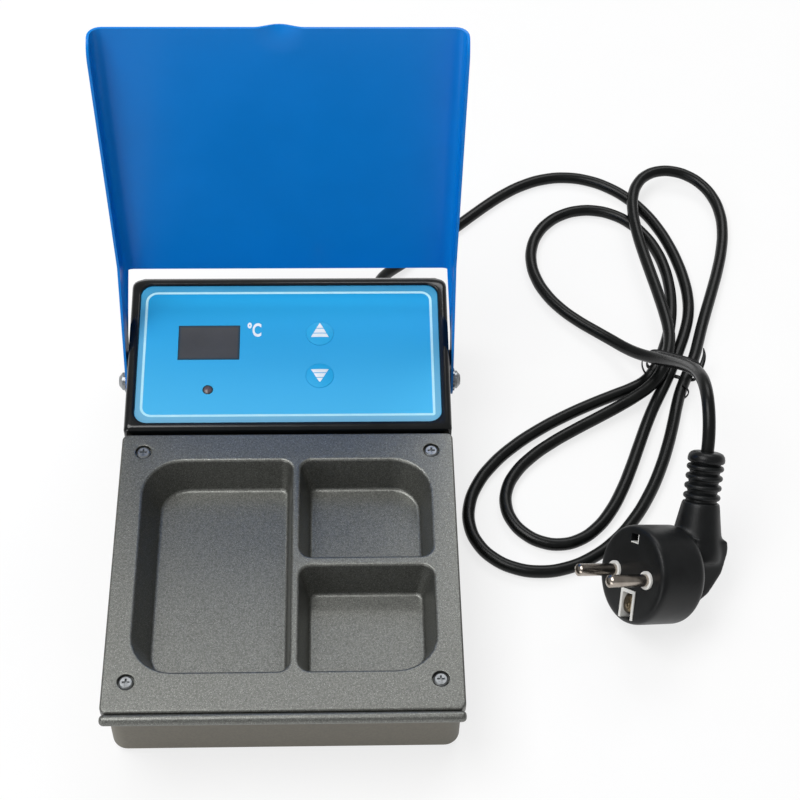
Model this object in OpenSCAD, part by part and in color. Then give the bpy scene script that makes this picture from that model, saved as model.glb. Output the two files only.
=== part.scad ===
// Bench-top wax pot: a heated three-well tray on a low case, a sloping control housing
// behind it, a hinged sheet-metal lid shown standing open, and a tied mains lead.
// The front faces -Y, +Z is up, and the origin is the middle of the footprint on the table.

/* [Body] */
// width of the tray and of the control housing
body_w = 130; // [110:1:180]
// length of the tray's top face from the front groove to the rear edge
tray_l = 122; // [100:1:170]
// height of the tray's top face over the table
tray_top = 40; // [36:1:60]
// depth of the control housing from front to rear
house_l = 76.2; // [70:0.2:110]
// slit between the tray's rear edge and the housing
seam = 1.8; // [1:0.1:4]
// wall thickness of the case and of the housing
wall = 2.4; // [1.6:0.1:3.2]
// height of the rubber feet
foot_h = 2.5; // [1.5:0.5:5]
// height of the joint line between the case and the housing
split_z = 16; // [12:1:18]

/* [Tray] */
// thickness of the tray's rim plate
rim_t = 4; // [3:0.2:6]
// diameter of the bead along the tray's front edge
bead_d = 4; // [3:0.2:5]
// depth of the three wells
well_depth = 15; // [10:0.5:18]
// inward lean of each well wall from rim to floor
well_draft = 4; // [2:0.2:6]
// shift of the large well's floor towards the middle of the tray
well_sway = 1.8; // [0:0.1:2]
// radius of the wells' outer corners
well_r_big = 15; // [10:0.5:18]
// radius of the wells' other corners
well_r_small = 4.6; // [4.4:0.1:7]
// metal left under the well floors
floor_t = 3; // [2:0.2:5]
// land between the left well and the two right wells
land_x = 3; // [2:0.2:6]
// land between the two right wells
land_y = 4; // [2:0.2:6]
// margin from the tray's sides to the wells
well_side = 9.6; // [9:0.2:14]
// margin from the tray's rear edge to the wells
well_rear = 13; // [11:0.5:18]
// margin from the front groove to the wells
well_front = 16; // [13:0.5:22]
// width of the left well
well_a_w = 57.4; // [45:0.2:65]
// distance of the tray screws from the sides
screw_side = 8.7; // [7:0.1:9]
// distance of the rear tray screws from the rear edge
screw_rear = 8.5; // [7:0.1:10]
// distance of the front tray screws from the groove
screw_front = 12.2; // [9:0.1:13]
// diameter of the screw counterbores
bore_d = 6.4; // [6:0.1:8]

/* [Panel] */
// slope of the control panel
panel_slope = 7.5; // [4:0.5:9]
// width of the printed overlay
overlay_w = 122; // [100:1:124]
// length of the printed overlay up the slope
overlay_l = 65; // [55:1:66]
// rise of the frame over the overlay
bezel_rise = 1; // [0.5:0.1:2]
// rounding along the housing's rear top edge
back_r = 8; // [5:0.5:9]
// width of the display window
display_w = 24.8; // [18:0.2:30]
// height of the display window
display_h = 16.2; // [10:0.2:18]
// diameter of the two keys
key_d = 11; // [8:0.5:13]
// travel of the keys
key_travel = 0.4; // [0.2:0.1:0.8]

/* [Lid] */
// thickness of the lid's sheet
sheet = 1; // [0.8:0.1:1.6]
// play between the lid's arms and the housing on each side
arm_gap = 1.2; // [0.8:0.1:2]
// length of the lid's plate
lid_l = 122.4; // [100:0.2:150]
// depth of the lid's side flanges
flange_h = 10; // [8:0.5:13]
// inner radius of the folds
fold_r = 4; // [3:0.5:6]
// inner face of the closed lid over the tray's top face
lid_clear = 8; // [6:0.5:12]
// backward lean of the lid when open
lid_lean = 1.5; // [0:0.5:6]
// height of the pivots over the table
pivot_z = 25; // [23:0.5:30]
// distance of the pivots behind the housing's front face
pivot_back = 36.7; // [32:0.1:42]
// rear edge of the closed lid's plate in front of the pivots
lid_rear = 43; // [40:0.5:50]
// shank diameter of the pivot screws
pivot_d = 4; // [3:0.5:5]
// rise of the finger dimple
dimple_rise = 1.3; // [0.8:0.1:2]

/* [Cord] */
// diameter of the mains cord
cord_d = 5.2; // [4.6:0.1:5.4]
// place of the cord's outlet right of the middle
outlet_x = 37; // [34:1:40]
// height of the cord's outlet over the table
outlet_z = 9.8; // [9.5:0.1:9.9]

/* [Fits] */
// radial running clearance of the lid on its pivot screws
run_gap = 0.05; // [0.02:0.01:0.1]
// radial clearance round screw shanks and seated parts
fit_gap = 0.1; // [0.05:0.05:0.2]
// clearance between parts that pass each other
pass_gap = 0.3; // [0.2:0.05:0.5]

/* [Hidden] */
$fn = 64;

// stations along the depth
body_l = bead_d + tray_l + seam + house_l;
y_front = -body_l / 2;
y_groove = y_front + bead_d;
y_tray = y_groove + tray_l;
y_house = y_tray + seam;
y_back = y_house + house_l;

// case
case_w = body_w - 1;
case_front = y_front + 9;
case_back = y_back - 1.5;
case_r = 6;
case_z0 = foot_h;
case_z1 = tray_top - rim_t;
plate_t = 1.2;
plate_z1 = case_z0 + plate_t;

// screws, M3
m3 = 3;
m3_head = 5.4;
m3_head_h = 1.7;
boss_d = 7.6;
sx = body_w / 2 - screw_side;
sy_r = y_tray - screw_rear;
sy_f = y_groove + screw_front;
bore_depth = 1.9;
post_x = body_w / 2 - 12;
post_y = y_back - 11;

// wells: [x0, x1, y0, y1] at the rim
wx0 = -body_w / 2 + well_side;
wx1 = wx0 + well_a_w;
wx2 = wx1 + land_x;
wx3 = body_w / 2 - well_side;
wy1 = y_tray - well_rear;
wy0 = y_groove + well_front;
wym = (wy0 + wy1) / 2;
land_x_mid = (wx1 + wx2) / 2;
rim_flare = 1.1;
rim_flare_h = 1;
well_z0 = tray_top - well_depth;
block_z0 = well_z0 - floor_t;

// heater stack under the tray
heat_t = 2;
clamp_t = 1.5;
heat_z0 = block_z0 - heat_t;
clamp_z0 = heat_z0 - clamp_t;
clamp_y = [wy0 + 12, wy1 - 12];

// panel plane: the overlay's top face starts here and climbs to the rear
panel_y = y_house + 3.6;
panel_z = tray_top;
overlay_t = 0.4;
panel_t = 2.2;
overlay_r = 5;
bezel_side = (body_w - overlay_w) / 2;
rear_r = 5;
display_x = -32.5;
display_s = 37.5;
lamp_x = -32.3;
lamp_s = 15.3;
lamp_d = 4.1;
key_x = 12.5;
key_up_s = 41.5;
key_dn_s = 21.5;
board_top = -11.5;
board_t = 1.6;
board_w = 108;
board_l = 54;
board_s0 = 5.5;
board_hole_x = board_w / 2 - 4.5;
board_hole_s = [board_s0 + 4.5, board_s0 + board_l - 4.5];
key_flange_z = -overlay_t - panel_t - pass_gap;
key_flange_t = 0.9;

// lid and pivots, lid given in its closed position round the pivot
arm_x = body_w / 2 + arm_gap;
pivot_y = y_house + pivot_back;
lid_in = tray_top + lid_clear - pivot_z;
lid_out = lid_in + sheet;
lid_front = lid_rear + lid_l;
arm_r = 6;
lid_turn = -(90 + lid_lean);
spacer_t = arm_gap - 0.2;
washer_t = 0.7;
// rear edge of the lid's arm in the closed position, y and z from the pivot
arm_low = [2.6, arm_r - 0.6];
arm_high = [-lid_rear, lid_in - fold_r];
stop_x = arm_gap + sheet;
washer_x = arm_x + sheet + 0.1;
head_h = 2.4;
head_d = 7.4;
nut_h = 3.2;
nut_af = 7;

// cord outlet
gland_flange = 2.5;
gland_nose = 18;
gland_d = 12;
bush_d = 8.4;
cord_r = cord_d / 2;
lie = cord_r + 0.05;
gland_y = case_back + gland_flange + gland_nose;

// plug: face centre, turn, and its own sizes
plug_at = [131.5, -34.5, 26.5];
plug_turn = [58, -36, -52];
plug_d = 38.5;
barrel_l = 20;
relief_z = -31;
relief_y = 48.5;
relief_d = 14.6;
neck_y = 29;
pin_d = 4.8;
pin_l = 19;
pin_pitch = 19;
pin_root = pin_d - 0.6;
collar_d = 7;
collar_rise = 0.8;
slot_w = 8.4;
slot_in = 5.6;
slot_out = 17.2;
notch_in = 12.4;

module rounded(w, l, r) {
    // flat rounded rectangle, centred
    square([w - 2 * r, l], center = true);
    square([w, l - 2 * r], center = true);
    for (a = [-1, 1], b = [-1, 1]) translate([a * (w / 2 - r), b * (l / 2 - r)]) circle(r);
}

module slab(x0, x1, y0, y1, z0, z1) {
    translate([x0, y0, z0]) cube([x1 - x0, y1 - y0, z1 - z0]);
}

module on_panel() {
    translate([0, panel_y, panel_z]) rotate([panel_slope, 0, 0]) children();
}

module pair_x(x) {
    for (a = [-1, 1]) translate([a * x, 0, 0]) children();
}

module tray_points() {
    for (x = [-sx, sx], y = [sy_r, sy_f]) translate([x, y, 0]) children();
}

module bottom_points() {
    for (x = [-sx, sx]) translate([x, sy_f, 0]) children();
    for (x = [-post_x, post_x]) translate([x, post_y, 0]) children();
}

// cross-recess screw pointing down, seat of the head at z = 0
module m3_screw(len) {
    difference() {
        union() {
            cylinder(d = m3_head, h = m3_head_h - 0.5);
            translate([0, 0, m3_head_h - 0.5]) cylinder(d1 = m3_head, d2 = m3_head - 1.2, h = 0.5);
            translate([0, 0, -len]) cylinder(d = m3, h = len);
        }
        for (a = [0, 90]) rotate(a) translate([-1.4, -0.35, m3_head_h - 1]) cube([2.8, 0.7, 2]);
    }
}

module base_case() color([0.42, 0.40, 0.36]) {
    mid = (case_front + case_back) / 2;
    len = case_back - case_front;
    difference() {
        union() {
            difference() {
                translate([0, mid, case_z0]) linear_extrude(case_z1 - case_z0) rounded(case_w, len, case_r);
                translate([0, mid, case_z0 - 1]) linear_extrude(case_z1 - case_z0 + 2)
                    rounded(case_w - 2 * wall, len - 2 * wall, case_r - wall);
            }
            intersection() {
                tray_points() translate([0, 0, plate_z1]) cylinder(d = boss_d, h = case_z1 - plate_z1);
                slab(-case_w / 2, case_w / 2, case_front, case_back, 0, case_z1);
            }
            // webs tying the screw columns to the side walls
            tray_points() translate([-1.2, -1.2, plate_z1]) cube([2.4, 2.4, case_z1 - plate_z1]);
            for (y = [sy_r, sy_f]) pair_x((sx + case_w / 2 - wall) / 2 + 0.8)
                translate([0, y, (plate_z1 + case_z1) / 2])
                    cube([case_w / 2 - wall - sx + 1.6, 2, case_z1 - plate_z1], center = true);
        }
        // the housing takes the upper rear part
        slab(-body_w, body_w, y_house - 0.6, y_back + 1, split_z, tray_top + 1);
        tray_points() translate([0, 0, plate_z1 - 1]) cylinder(d = m3 + 2 * fit_gap, h = tray_top);
        // rebate that takes the bottom plate
        translate([0, mid, case_z0 - 1]) linear_extrude(plate_t + 1)
            rounded(case_w - 2 * wall + 2, len - 2 * wall + 2, case_r - wall + 1);
        // hole for the cord's strain relief
        translate([outlet_x, case_back - 6, outlet_z]) rotate([-90, 0, 0])
            cylinder(d = bush_d + 2 * fit_gap, h = 12);
    }
}

module bottom_plate() color([0.62, 0.63, 0.65]) {
    mid = (case_front + case_back) / 2;
    len = case_back - case_front;
    difference() {
        translate([0, mid, case_z0]) linear_extrude(plate_t)
            rounded(case_w - 2 * wall + 2 - 2 * fit_gap, len - 2 * wall + 2 - 2 * fit_gap,
                    case_r - wall + 1 - fit_gap);
        bottom_points() translate([0, 0, -1]) cylinder(d = m3 + 2 * fit_gap, h = 10);
        // vent slots under the controls
        for (i = [-3:3]) translate([i * 9, y_house + 42, 0]) rotate(90) linear_extrude(10)
            rounded(22, 3, 1.4);
    }
}

module bottom_screws() color([0.75, 0.75, 0.77])
    bottom_points() translate([0, 0, case_z0]) mirror([0, 0, 1]) m3_screw(9);

module rubber_feet() color([0.10, 0.10, 0.11])
    for (x = [-1, 1], y = [case_front + 24, case_back - 24])
        translate([x * (case_w / 2 - 14), y, 0]) {
            cylinder(d1 = 9, d2 = 10, h = 0.8);
            translate([0, 0, 0.8]) cylinder(d = 10, h = foot_h - 0.8);
        }

// four corner posts of one well between two heights, wider at the top by the lean
module well_form(x0, x1, y0, y1, z0, z1, in0, in1, r, sway = 0) {
    lean = sway / (z1 - z0);
    hull() for (k = [0:3]) {
        cx = (k % 2 == 0) ? x0 : x1;
        cy = (k < 2) ? y0 : y1;
        ax = (k % 2 == 0) ? 1 : -1;
        ay = (k < 2) ? 1 : -1;
        multmatrix([[1, 0, -lean, lean * z1], [0, 1, 0, 0], [0, 0, 1, 0]])
            translate([cx + ax * r[k], cy + ay * r[k], z0])
                cylinder(r1 = r[k] - in0, r2 = r[k] - in1, h = z1 - z0, $fn = 32);
    }
}

well_list = [[wx0, wx1, wy0, wy1, [well_r_big, well_r_small, well_r_big, well_r_small], well_sway],
             [wx2, wx3, wym + land_y / 2, wy1, [well_r_small, well_r_small, well_r_small, well_r_big], 0],
             [wx2, wx3, wy0, wym - land_y / 2, [well_r_small, well_r_big, well_r_small, well_r_small], 0]];

module wax_tray() color([0.38, 0.38, 0.37]) {
    bead_r = bead_d / 2;
    difference() {
        union() {
            translate([0, (y_groove + y_tray) / 2, case_z1]) linear_extrude(rim_t)
                rounded(body_w, tray_l, 2.5);
            // front bead, joined under a narrow groove
            translate([0, y_front + bead_r, tray_top - bead_r]) {
                rotate([0, 90, 0]) cylinder(r = bead_r, h = body_w - 2 * bead_r, center = true);
                pair_x(body_w / 2 - bead_r) sphere(bead_r);
            }
            slab(-body_w / 2 + 2.5, body_w / 2 - 2.5, y_front + bead_r, y_groove + 3,
                 tray_top - bead_r - 1.4, tray_top - 1.5);
            // block that holds the wells
            well_form(wx0 - 2.4, wx3 + 2.4, wy0 - 2.4, wy1 + 2.4, block_z0, case_z1 + 0.5, 2, 0,
                      [well_r_big + 2, well_r_big + 2, well_r_big + 2, well_r_big + 2]);
        }
        for (w = well_list) {
            well_form(w[0], w[1], w[2], w[3], well_z0, tray_top, well_draft, 0, w[4], w[5]);
            well_form(w[0], w[1], w[2], w[3], tray_top - rim_flare_h, tray_top + 0.5,
                      0.25, -rim_flare, w[4]);
        }
        tray_points() {
            translate([0, 0, tray_top - bore_depth]) cylinder(d = bore_d, h = bore_depth + 1);
            cylinder(d = m3 + 2 * fit_gap, h = tray_top + 1);
        }
        // blind bore for the temperature sensor, in the land between the wells
        translate([land_x_mid, wy1 + 8, well_z0 + 4]) rotate([90, 0, 0]) cylinder(d = 4.2, h = 17.4);
        for (y = clamp_y) translate([land_x_mid, y, block_z0 - 1]) cylinder(d = m3 + 2 * fit_gap, h = 8);
    }
}

module tray_screws() color([0.80, 0.80, 0.81])
    tray_points() translate([0, 0, tray_top - bore_depth]) m3_screw(16);

module heater_plate() color([0.72, 0.60, 0.42]) difference() {
    translate([0, (wy0 + wy1) / 2, heat_z0]) linear_extrude(heat_t)
        rounded(wx3 - wx0 - 14, wy1 - wy0 - 12, 8);
    for (y = clamp_y) translate([land_x_mid, y, 0]) cylinder(d = 4, h = 60);
}

module clamp_plate() color([0.66, 0.67, 0.69]) difference() {
    union() {
        translate([0, (wy0 + wy1) / 2, clamp_z0]) linear_extrude(clamp_t)
            rounded(wx3 - wx0 - 14, wy1 - wy0 - 12, 8);
        // rear tongue that carries the thermal fuse
        slab(-40, -16, wy1 - 10, wy1 + 9, clamp_z0, clamp_z0 + clamp_t);
    }
    for (y = clamp_y) translate([land_x_mid, y, 0]) cylinder(d = m3 + 2 * fit_gap, h = 60);
}

module clamp_screws() color([0.75, 0.75, 0.77])
    for (y = clamp_y) translate([land_x_mid, y, clamp_z0]) mirror([0, 0, 1]) m3_screw(9);

module insulation_pad() color([0.90, 0.88, 0.82]) difference() {
    translate([0, (wy0 + wy1) / 2, plate_z1]) linear_extrude(clamp_z0 - plate_z1)
        rounded(wx3 - wx0 - 8, wy1 - wy0 - 8, 10);
    for (y = clamp_y) translate([land_x_mid, y, clamp_z0 - 3]) cylinder(d = 8, h = 60);
}

module temperature_sensor() color([0.78, 0.78, 0.80]) {
    translate([land_x_mid, wy1 + 4, well_z0 + 4]) rotate([90, 0, 0]) cylinder(d = 4, h = 12.8);
    translate([land_x_mid, wy1 + 8, well_z0 + 4]) rotate([90, 0, 0]) cylinder(d = 2.6, h = 5);
}

module thermal_fuse() color([0.85, 0.83, 0.78]) {
    fy = wy1 + 5.5;
    fz = clamp_z0 + clamp_t + 2;
    translate([-28, fy, fz]) rotate([0, 90, 0]) cylinder(d = 4, h = 11, center = true);
    translate([-28, fy, fz]) rotate([0, 90, 0]) cylinder(d = 1, h = 20, center = true);
    slab(-31, -25, fy - 1.4, fy + 1.4, clamp_z0 + clamp_t, fz);
}

// side outline of the housing, y across and z up
module house_side() {
    c = cos(panel_slope);
    s = sin(panel_slope);
    t = tan(panel_slope);
    zf = panel_z + bezel_rise / c - (panel_y - y_house) * t;
    zr = panel_z + bezel_rise / c + (y_back - back_r - panel_y) * t;
    polygon([[y_house, split_z], [y_back, split_z], [y_back, zr - back_r], [y_back - back_r, zr - back_r],
             [y_back - back_r - 0.1, zr - 0.1 * t], [y_house, zf]]);
    intersection() {
        translate([y_back - back_r, zr - back_r]) circle(back_r);
        translate([y_back - back_r - 0.5, zr - back_r - 1]) square([back_r + 1, back_r + 1]);
    }
}

module house_hollow() {
    c = cos(panel_slope);
    t = tan(panel_slope);
    drop = (overlay_t + panel_t) / c;
    zf = panel_z - drop - (panel_y - y_house - wall) * t;
    zr = panel_z - drop + (y_back - wall - panel_y) * t;
    polygon([[y_house + wall, split_z - 5], [y_back - wall, split_z - 5], [y_back - wall, zr - 5],
             [y_back - wall - 5, zr - 5 * t], [y_house + wall, zf]]);
}

module control_housing() color([0.12, 0.12, 0.13]) {
    mid = (y_house + y_back) / 2;
    difference() {
        union() {
            difference() {
                intersection() {
                    translate([-body_w / 2, 0, 0]) rotate([90, 0, 90]) linear_extrude(body_w) house_side();
                    union() {
                        translate([0, mid, split_z]) linear_extrude(80) rounded(body_w, house_l, rear_r);
                        slab(-body_w / 2, body_w / 2, y_house, mid, split_z, 100);
                    }
                }
                translate([-body_w / 2 + wall, 0, 0]) rotate([90, 0, 90]) linear_extrude(body_w - 2 * wall)
                    house_hollow();
            }
            // posts for the circuit board
            for (x = [-board_hole_x, board_hole_x], s = board_hole_s) on_panel()
                translate([x, s, board_top]) cylinder(d = 6, h = -board_top - overlay_t - 1);
            // posts that take the rear bottom screws, tied to the rear wall
            for (x = [-post_x, post_x]) translate([x, post_y, plate_z1])
                cylinder(d = boss_d, h = split_z - plate_z1 + 6);
            for (x = [-post_x, post_x])
                slab(x - 1.2, x + 1.2, post_y + 2.5, y_back - 1, split_z, split_z + 6);
            // thick pads behind the pivots
            pair_x(body_w / 2 - wall - 0.6) translate([0, pivot_y, pivot_z]) rotate([0, 90, 0])
                cylinder(d = 12, h = 1.6, center = true);
            // ribs on the sides where the open lid's arms come to rest
            for (a = [-1, 1]) translate([0, pivot_y, pivot_z]) rotate([lid_turn, 0, 0])
                translate([a * (body_w / 2 + stop_x / 2 - 0.5), mix(arm_low[0], arm_high[0], 0.15),
                           mix(arm_low[1], arm_high[1], 0.15)])
                    rotate([atan2(arm_low[1] - arm_high[1], arm_low[0] - arm_high[0]), 0, 0])
                        translate([-stop_x / 2 - 0.5, -3, pass_gap]) cube([stop_x + 1, 6, 2.4]);
        }
        // recess for the overlay, openings for window, lamp and keys
        on_panel() {
            translate([0, overlay_l / 2, -overlay_t]) linear_extrude(10)
                rounded(overlay_w + 2 * fit_gap, overlay_l + 2 * fit_gap, overlay_r);
            translate([display_x, display_s, -10]) linear_extrude(20)
                square([display_w + 2 * fit_gap, display_h + 2 * fit_gap], center = true);
            translate([lamp_x, lamp_s, -8]) cylinder(d = lamp_d + 2 * fit_gap, h = 20);
            for (s = [key_up_s, key_dn_s]) translate([key_x, s, -8])
                cylinder(d = key_d + 2 * pass_gap, h = 20);
            for (x = [-board_hole_x, board_hole_x], s = board_hole_s) translate([x, s, board_top - 1])
                cylinder(d = m3 - 0.5 + 2 * fit_gap, h = 8);
        }
        for (x = [-post_x, post_x]) translate([x, post_y, 0]) cylinder(d = m3 + 2 * fit_gap, h = 14);
        translate([0, pivot_y, pivot_z]) rotate([0, 90, 0])
            cylinder(d = pivot_d + 2 * fit_gap, h = 2 * body_w, center = true);
    }
}

module panel_overlay() color([0.11, 0.62, 0.88]) on_panel() difference() {
    translate([0, overlay_l / 2, -overlay_t]) linear_extrude(overlay_t)
        rounded(overlay_w, overlay_l, overlay_r - fit_gap);
    translate([display_x, display_s, -5]) linear_extrude(10)
        square([display_w + 2 * fit_gap, display_h + 2 * fit_gap], center = true);
    translate([lamp_x, lamp_s, -5]) cylinder(d = lamp_d + 2 * fit_gap, h = 10);
    for (s = [key_up_s, key_dn_s]) translate([key_x, s, -5]) cylinder(d = key_d + 2 * pass_gap, h = 10);
}

// round key cap with a low dome, held under the panel by its flange
module key_cap(s) on_panel() translate([key_x, s, 0]) {
    dome = 40;
    intersection() {
        translate([0, 0, key_flange_z]) cylinder(d = key_d, h = 0.5 - key_flange_z);
        translate([0, 0, 0.5 - dome]) sphere(dome, $fn = 96);
    }
    translate([0, 0, key_flange_z - key_flange_t]) cylinder(d = key_d + 2.6, h = key_flange_t);
    translate([0, 0, key_flange_z - key_flange_t - 1.2]) cylinder(d = 3.4, h = 1.4);
}

module up_key() color([0.16, 0.66, 0.90]) key_cap(key_up_s);

module down_key() color([0.20, 0.66, 0.90]) key_cap(key_dn_s);

module key_switches() color([0.15, 0.15, 0.16]) {
    top = key_flange_z - key_flange_t - 1.2 - key_travel - 0.2;
    for (s = [key_up_s, key_dn_s]) on_panel() translate([key_x, s, board_top]) {
        translate([-3, -3, 0]) cube([6, 6, top - board_top - 1.2]);
        cylinder(d = 3.2, h = top - board_top);
    }
}

module display_window() color([0.06, 0.07, 0.09]) on_panel()
    translate([display_x, display_s, -overlay_t - panel_t]) linear_extrude(overlay_t + panel_t - 0.05)
        square([display_w, display_h], center = true);

module display_module() color([0.12, 0.12, 0.13]) on_panel() {
    face = -overlay_t - panel_t - 0.9;
    translate([display_x, display_s, board_top]) linear_extrude(face - board_top)
        square([display_w - 1.6, display_h - 1.6], center = true);
    // three seven-bar digits, raised a hair on the face
    for (d = [-1:1]) translate([display_x + d * 7.4, display_s, face + 0.2]) {
        for (v = [-4.4, 0, 4.4]) translate([v * 0.09, v, 0]) cube([2.8, 0.7, 0.6], center = true);
        for (u = [-1.9, 1.9], v = [-2.2, 2.2]) translate([u + v * 0.09, v, 0])
            cube([0.7, 3, 0.6], center = true);
    }
}

module indicator_lamp() color([0.45, 0.05, 0.06]) on_panel() translate([lamp_x, lamp_s, 0]) {
    translate([0, 0, board_top]) cylinder(d = lamp_d, h = -board_top - 0.2);
    intersection() {
        translate([0, 0, -3]) cylinder(d = lamp_d, h = 4);
        translate([0, 0, -3.5]) sphere(3.9);
    }
}

module circuit_board() color([0.10, 0.34, 0.20]) on_panel() difference() {
    translate([-board_w / 2, board_s0, board_top - board_t]) cube([board_w, board_l, board_t]);
    for (x = [-board_hole_x, board_hole_x], s = board_hole_s) translate([x, s, board_top - 5])
        cylinder(d = m3 + 2 * fit_gap, h = 10);
}

module board_screws() color([0.75, 0.75, 0.77])
    for (x = [-board_hole_x, board_hole_x], s = board_hole_s) on_panel()
        translate([x, s, board_top - board_t]) mirror([0, 0, 1]) {
            cylinder(d = 4.6, h = 1.5);
            translate([0, 0, -6]) cylinder(d = m3 - 0.5, h = 6);
        }

module power_relay() color([0.16, 0.30, 0.55]) on_panel()
    translate([26, 24, board_top - board_t - 12]) cube([19, 15.5, 12]);

module power_supply() color([0.72, 0.66, 0.30]) {
    px = -18;
    py = y_house + 30;
    slab(px - 16, px + 16, py - 13, py + 13, plate_z1, plate_z1 + 3);
    slab(px - 14, px + 14, py - 11, py + 11, plate_z1 + 2, plate_z1 + 16);
}

module terminal_block() color([0.88, 0.88, 0.84]) difference() {
    slab(outlet_x - 14, outlet_x + 8, y_house + 40, y_house + 52, plate_z1, plate_z1 + 11);
    for (i = [0:2]) translate([outlet_x - 10 + i * 7, y_house + 46, plate_z1 + 5]) {
        cylinder(d = 3.4, h = 10);
        rotate([90, 0, 0]) cylinder(d = 3, h = 30, center = true);
    }
}

module cord_gland() color([0.09, 0.09, 0.10]) translate([outlet_x, case_back, outlet_z]) rotate([-90, 0, 0])
    difference() {
        union() {
            translate([0, 0, -wall - 2]) cylinder(d = bush_d, h = wall + 3);
            cylinder(d = gland_d, h = gland_flange);
            translate([0, 0, gland_flange - 0.1])
                cylinder(d1 = bush_d + 1.2, d2 = cord_d + 1.6, h = gland_nose + 0.1);
            translate([0, 0, -wall - 2]) cylinder(d = bush_d + 1.6, h = 2 - fit_gap);
        }
        translate([0, 0, -20]) cylinder(d = cord_d + 2 * fit_gap, h = 60);
        // flex slots from both sides of the taper
        for (i = [0:3], a = [0, 180]) rotate([0, 0, a + 90 * (i % 2)])
            translate([cord_r + 0.7, -6, gland_flange + 3 + 3.6 * i]) cube([6, 12, 1.5]);
    }

// lid in its closed place, pivot at the origin
module lid_closed() {
    flat = arm_x - fold_r;
    bot = lid_out - flange_h;
    corner = 8;
    module section() {
        translate([-flat, lid_in]) square([2 * flat, sheet]);
        for (a = [0, 1]) mirror([a, 0, 0]) {
            translate([arm_x, bot]) square([sheet, lid_in - fold_r - bot]);
            intersection() {
                translate([flat, lid_in - fold_r]) difference() {
                    circle(fold_r + sheet);
                    circle(fold_r);
                }
                translate([flat, lid_in - fold_r]) square(fold_r + sheet + 1);
            }
        }
    }
    module side() {
        // side outline, y across and z up: plate and flange with a rounded lower front corner
        translate([-lid_front, bot + corner]) square([lid_l, flange_h - corner + 3]);
        translate([-lid_front + corner, bot]) square([lid_l - corner, flange_h]);
        translate([-lid_front + corner, bot + corner]) circle(corner);
    }
    module arm() {
        // arm running back and down from the flange to the pivot
        polygon([[-lid_rear - 30, bot], [-lid_rear - 10, bot], [-2.4, -arm_r + 0.5], arm_low,
                 arm_high, [-lid_rear - 30, lid_in - fold_r]]);
        circle(arm_r);
    }
    round_r = (6.5 * 6.5 + dimple_rise * dimple_rise) / (2 * dimple_rise);
    difference() {
        union() {
            intersection() {
                translate([0, -lid_rear, 0]) rotate([90, 0, 0]) linear_extrude(lid_l) section();
                translate([-body_w, 0, 0]) rotate([90, 0, 90]) linear_extrude(2 * body_w) side();
            }
            for (a = [0, 1]) mirror([a, 0, 0]) translate([arm_x, 0, 0]) rotate([90, 0, 90])
                linear_extrude(sheet) arm();
            // pressed finger dimple at the middle of the front edge
            intersection() {
                translate([0, -lid_front, lid_out + dimple_rise - round_r - 0.4]) {
                    rotate([-90, 0, 0]) cylinder(r = round_r + 0.4, h = 7, $fn = 96);
                    translate([0, 7, 0]) sphere(round_r + 0.4, $fn = 96);
                }
                slab(-10, 10, -lid_front, -lid_front + 22, lid_in + 0.2, lid_out + 4);
            }
        }
        translate([0, -lid_front - 1, lid_out + dimple_rise - round_r - 0.4]) {
            rotate([-90, 0, 0]) cylinder(r = round_r - sheet + 0.4, h = 8, $fn = 96);
            translate([0, 8, 0]) sphere(round_r - sheet + 0.4, $fn = 96);
        }
        rotate([0, 90, 0]) cylinder(d = pivot_d + 2 * run_gap, h = 2 * body_w, center = true);
    }
}

module lid() color([0.0, 0.41, 0.73])
    translate([0, pivot_y, pivot_z]) rotate([lid_turn, 0, 0]) lid_closed();

module at_pivots() {
    for (a = [0, 1]) mirror([a, 0, 0]) translate([0, pivot_y, pivot_z]) rotate([0, 90, 0]) children();
}

module pivot_screws() color([0.62, 0.62, 0.64]) at_pivots() difference() {
    union() {
        translate([0, 0, washer_x + washer_t]) cylinder(d = head_d, h = head_h - 1.4);
        translate([0, 0, washer_x + washer_t + head_h - 1.4])
            cylinder(d1 = head_d, d2 = head_d - 3.4, h = 1.4);
        translate([0, 0, body_w / 2 - 9]) cylinder(d = pivot_d, h = washer_x + washer_t - body_w / 2 + 9.5);
    }
    for (r = [0, 90]) rotate(r)
        translate([-2, -0.45, washer_x + washer_t + head_h - 1.3]) cube([4, 0.9, 3]);
}

// toothed lock washers under the pivot heads
module star_washers() color([0.58, 0.60, 0.66]) at_pivots() translate([0, 0, washer_x]) difference() {
    union() {
        cylinder(d = 7.2, h = washer_t);
        for (i = [0:11]) rotate(i * 30) translate([3.1, -0.55, 0]) cube([1.5, 1.1, washer_t]);
    }
    translate([0, 0, -1]) cylinder(d = pivot_d + 2 * fit_gap, h = 5);
}

module pivot_spacers() color([0.85, 0.85, 0.80]) at_pivots() translate([0, 0, body_w / 2]) difference() {
    cylinder(d = 8.4, h = spacer_t);
    translate([0, 0, -1]) cylinder(d = pivot_d + 2 * fit_gap, h = 5);
}

module pivot_nuts() color([0.70, 0.70, 0.72]) at_pivots()
    translate([0, 0, body_w / 2 - wall - 1.4 - nut_h]) difference() {
        cylinder(d = nut_af / cos(30), h = nut_h, $fn = 6);
        translate([0, 0, -1]) cylinder(d = pivot_d + 2 * fit_gap, h = 10);
    }

// cord route
function unit3(v) = v / norm(v);
function mix(a, b, t) = a + (b - a) * t;
function ease(t) = t * t * (3 - 2 * t);
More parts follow.
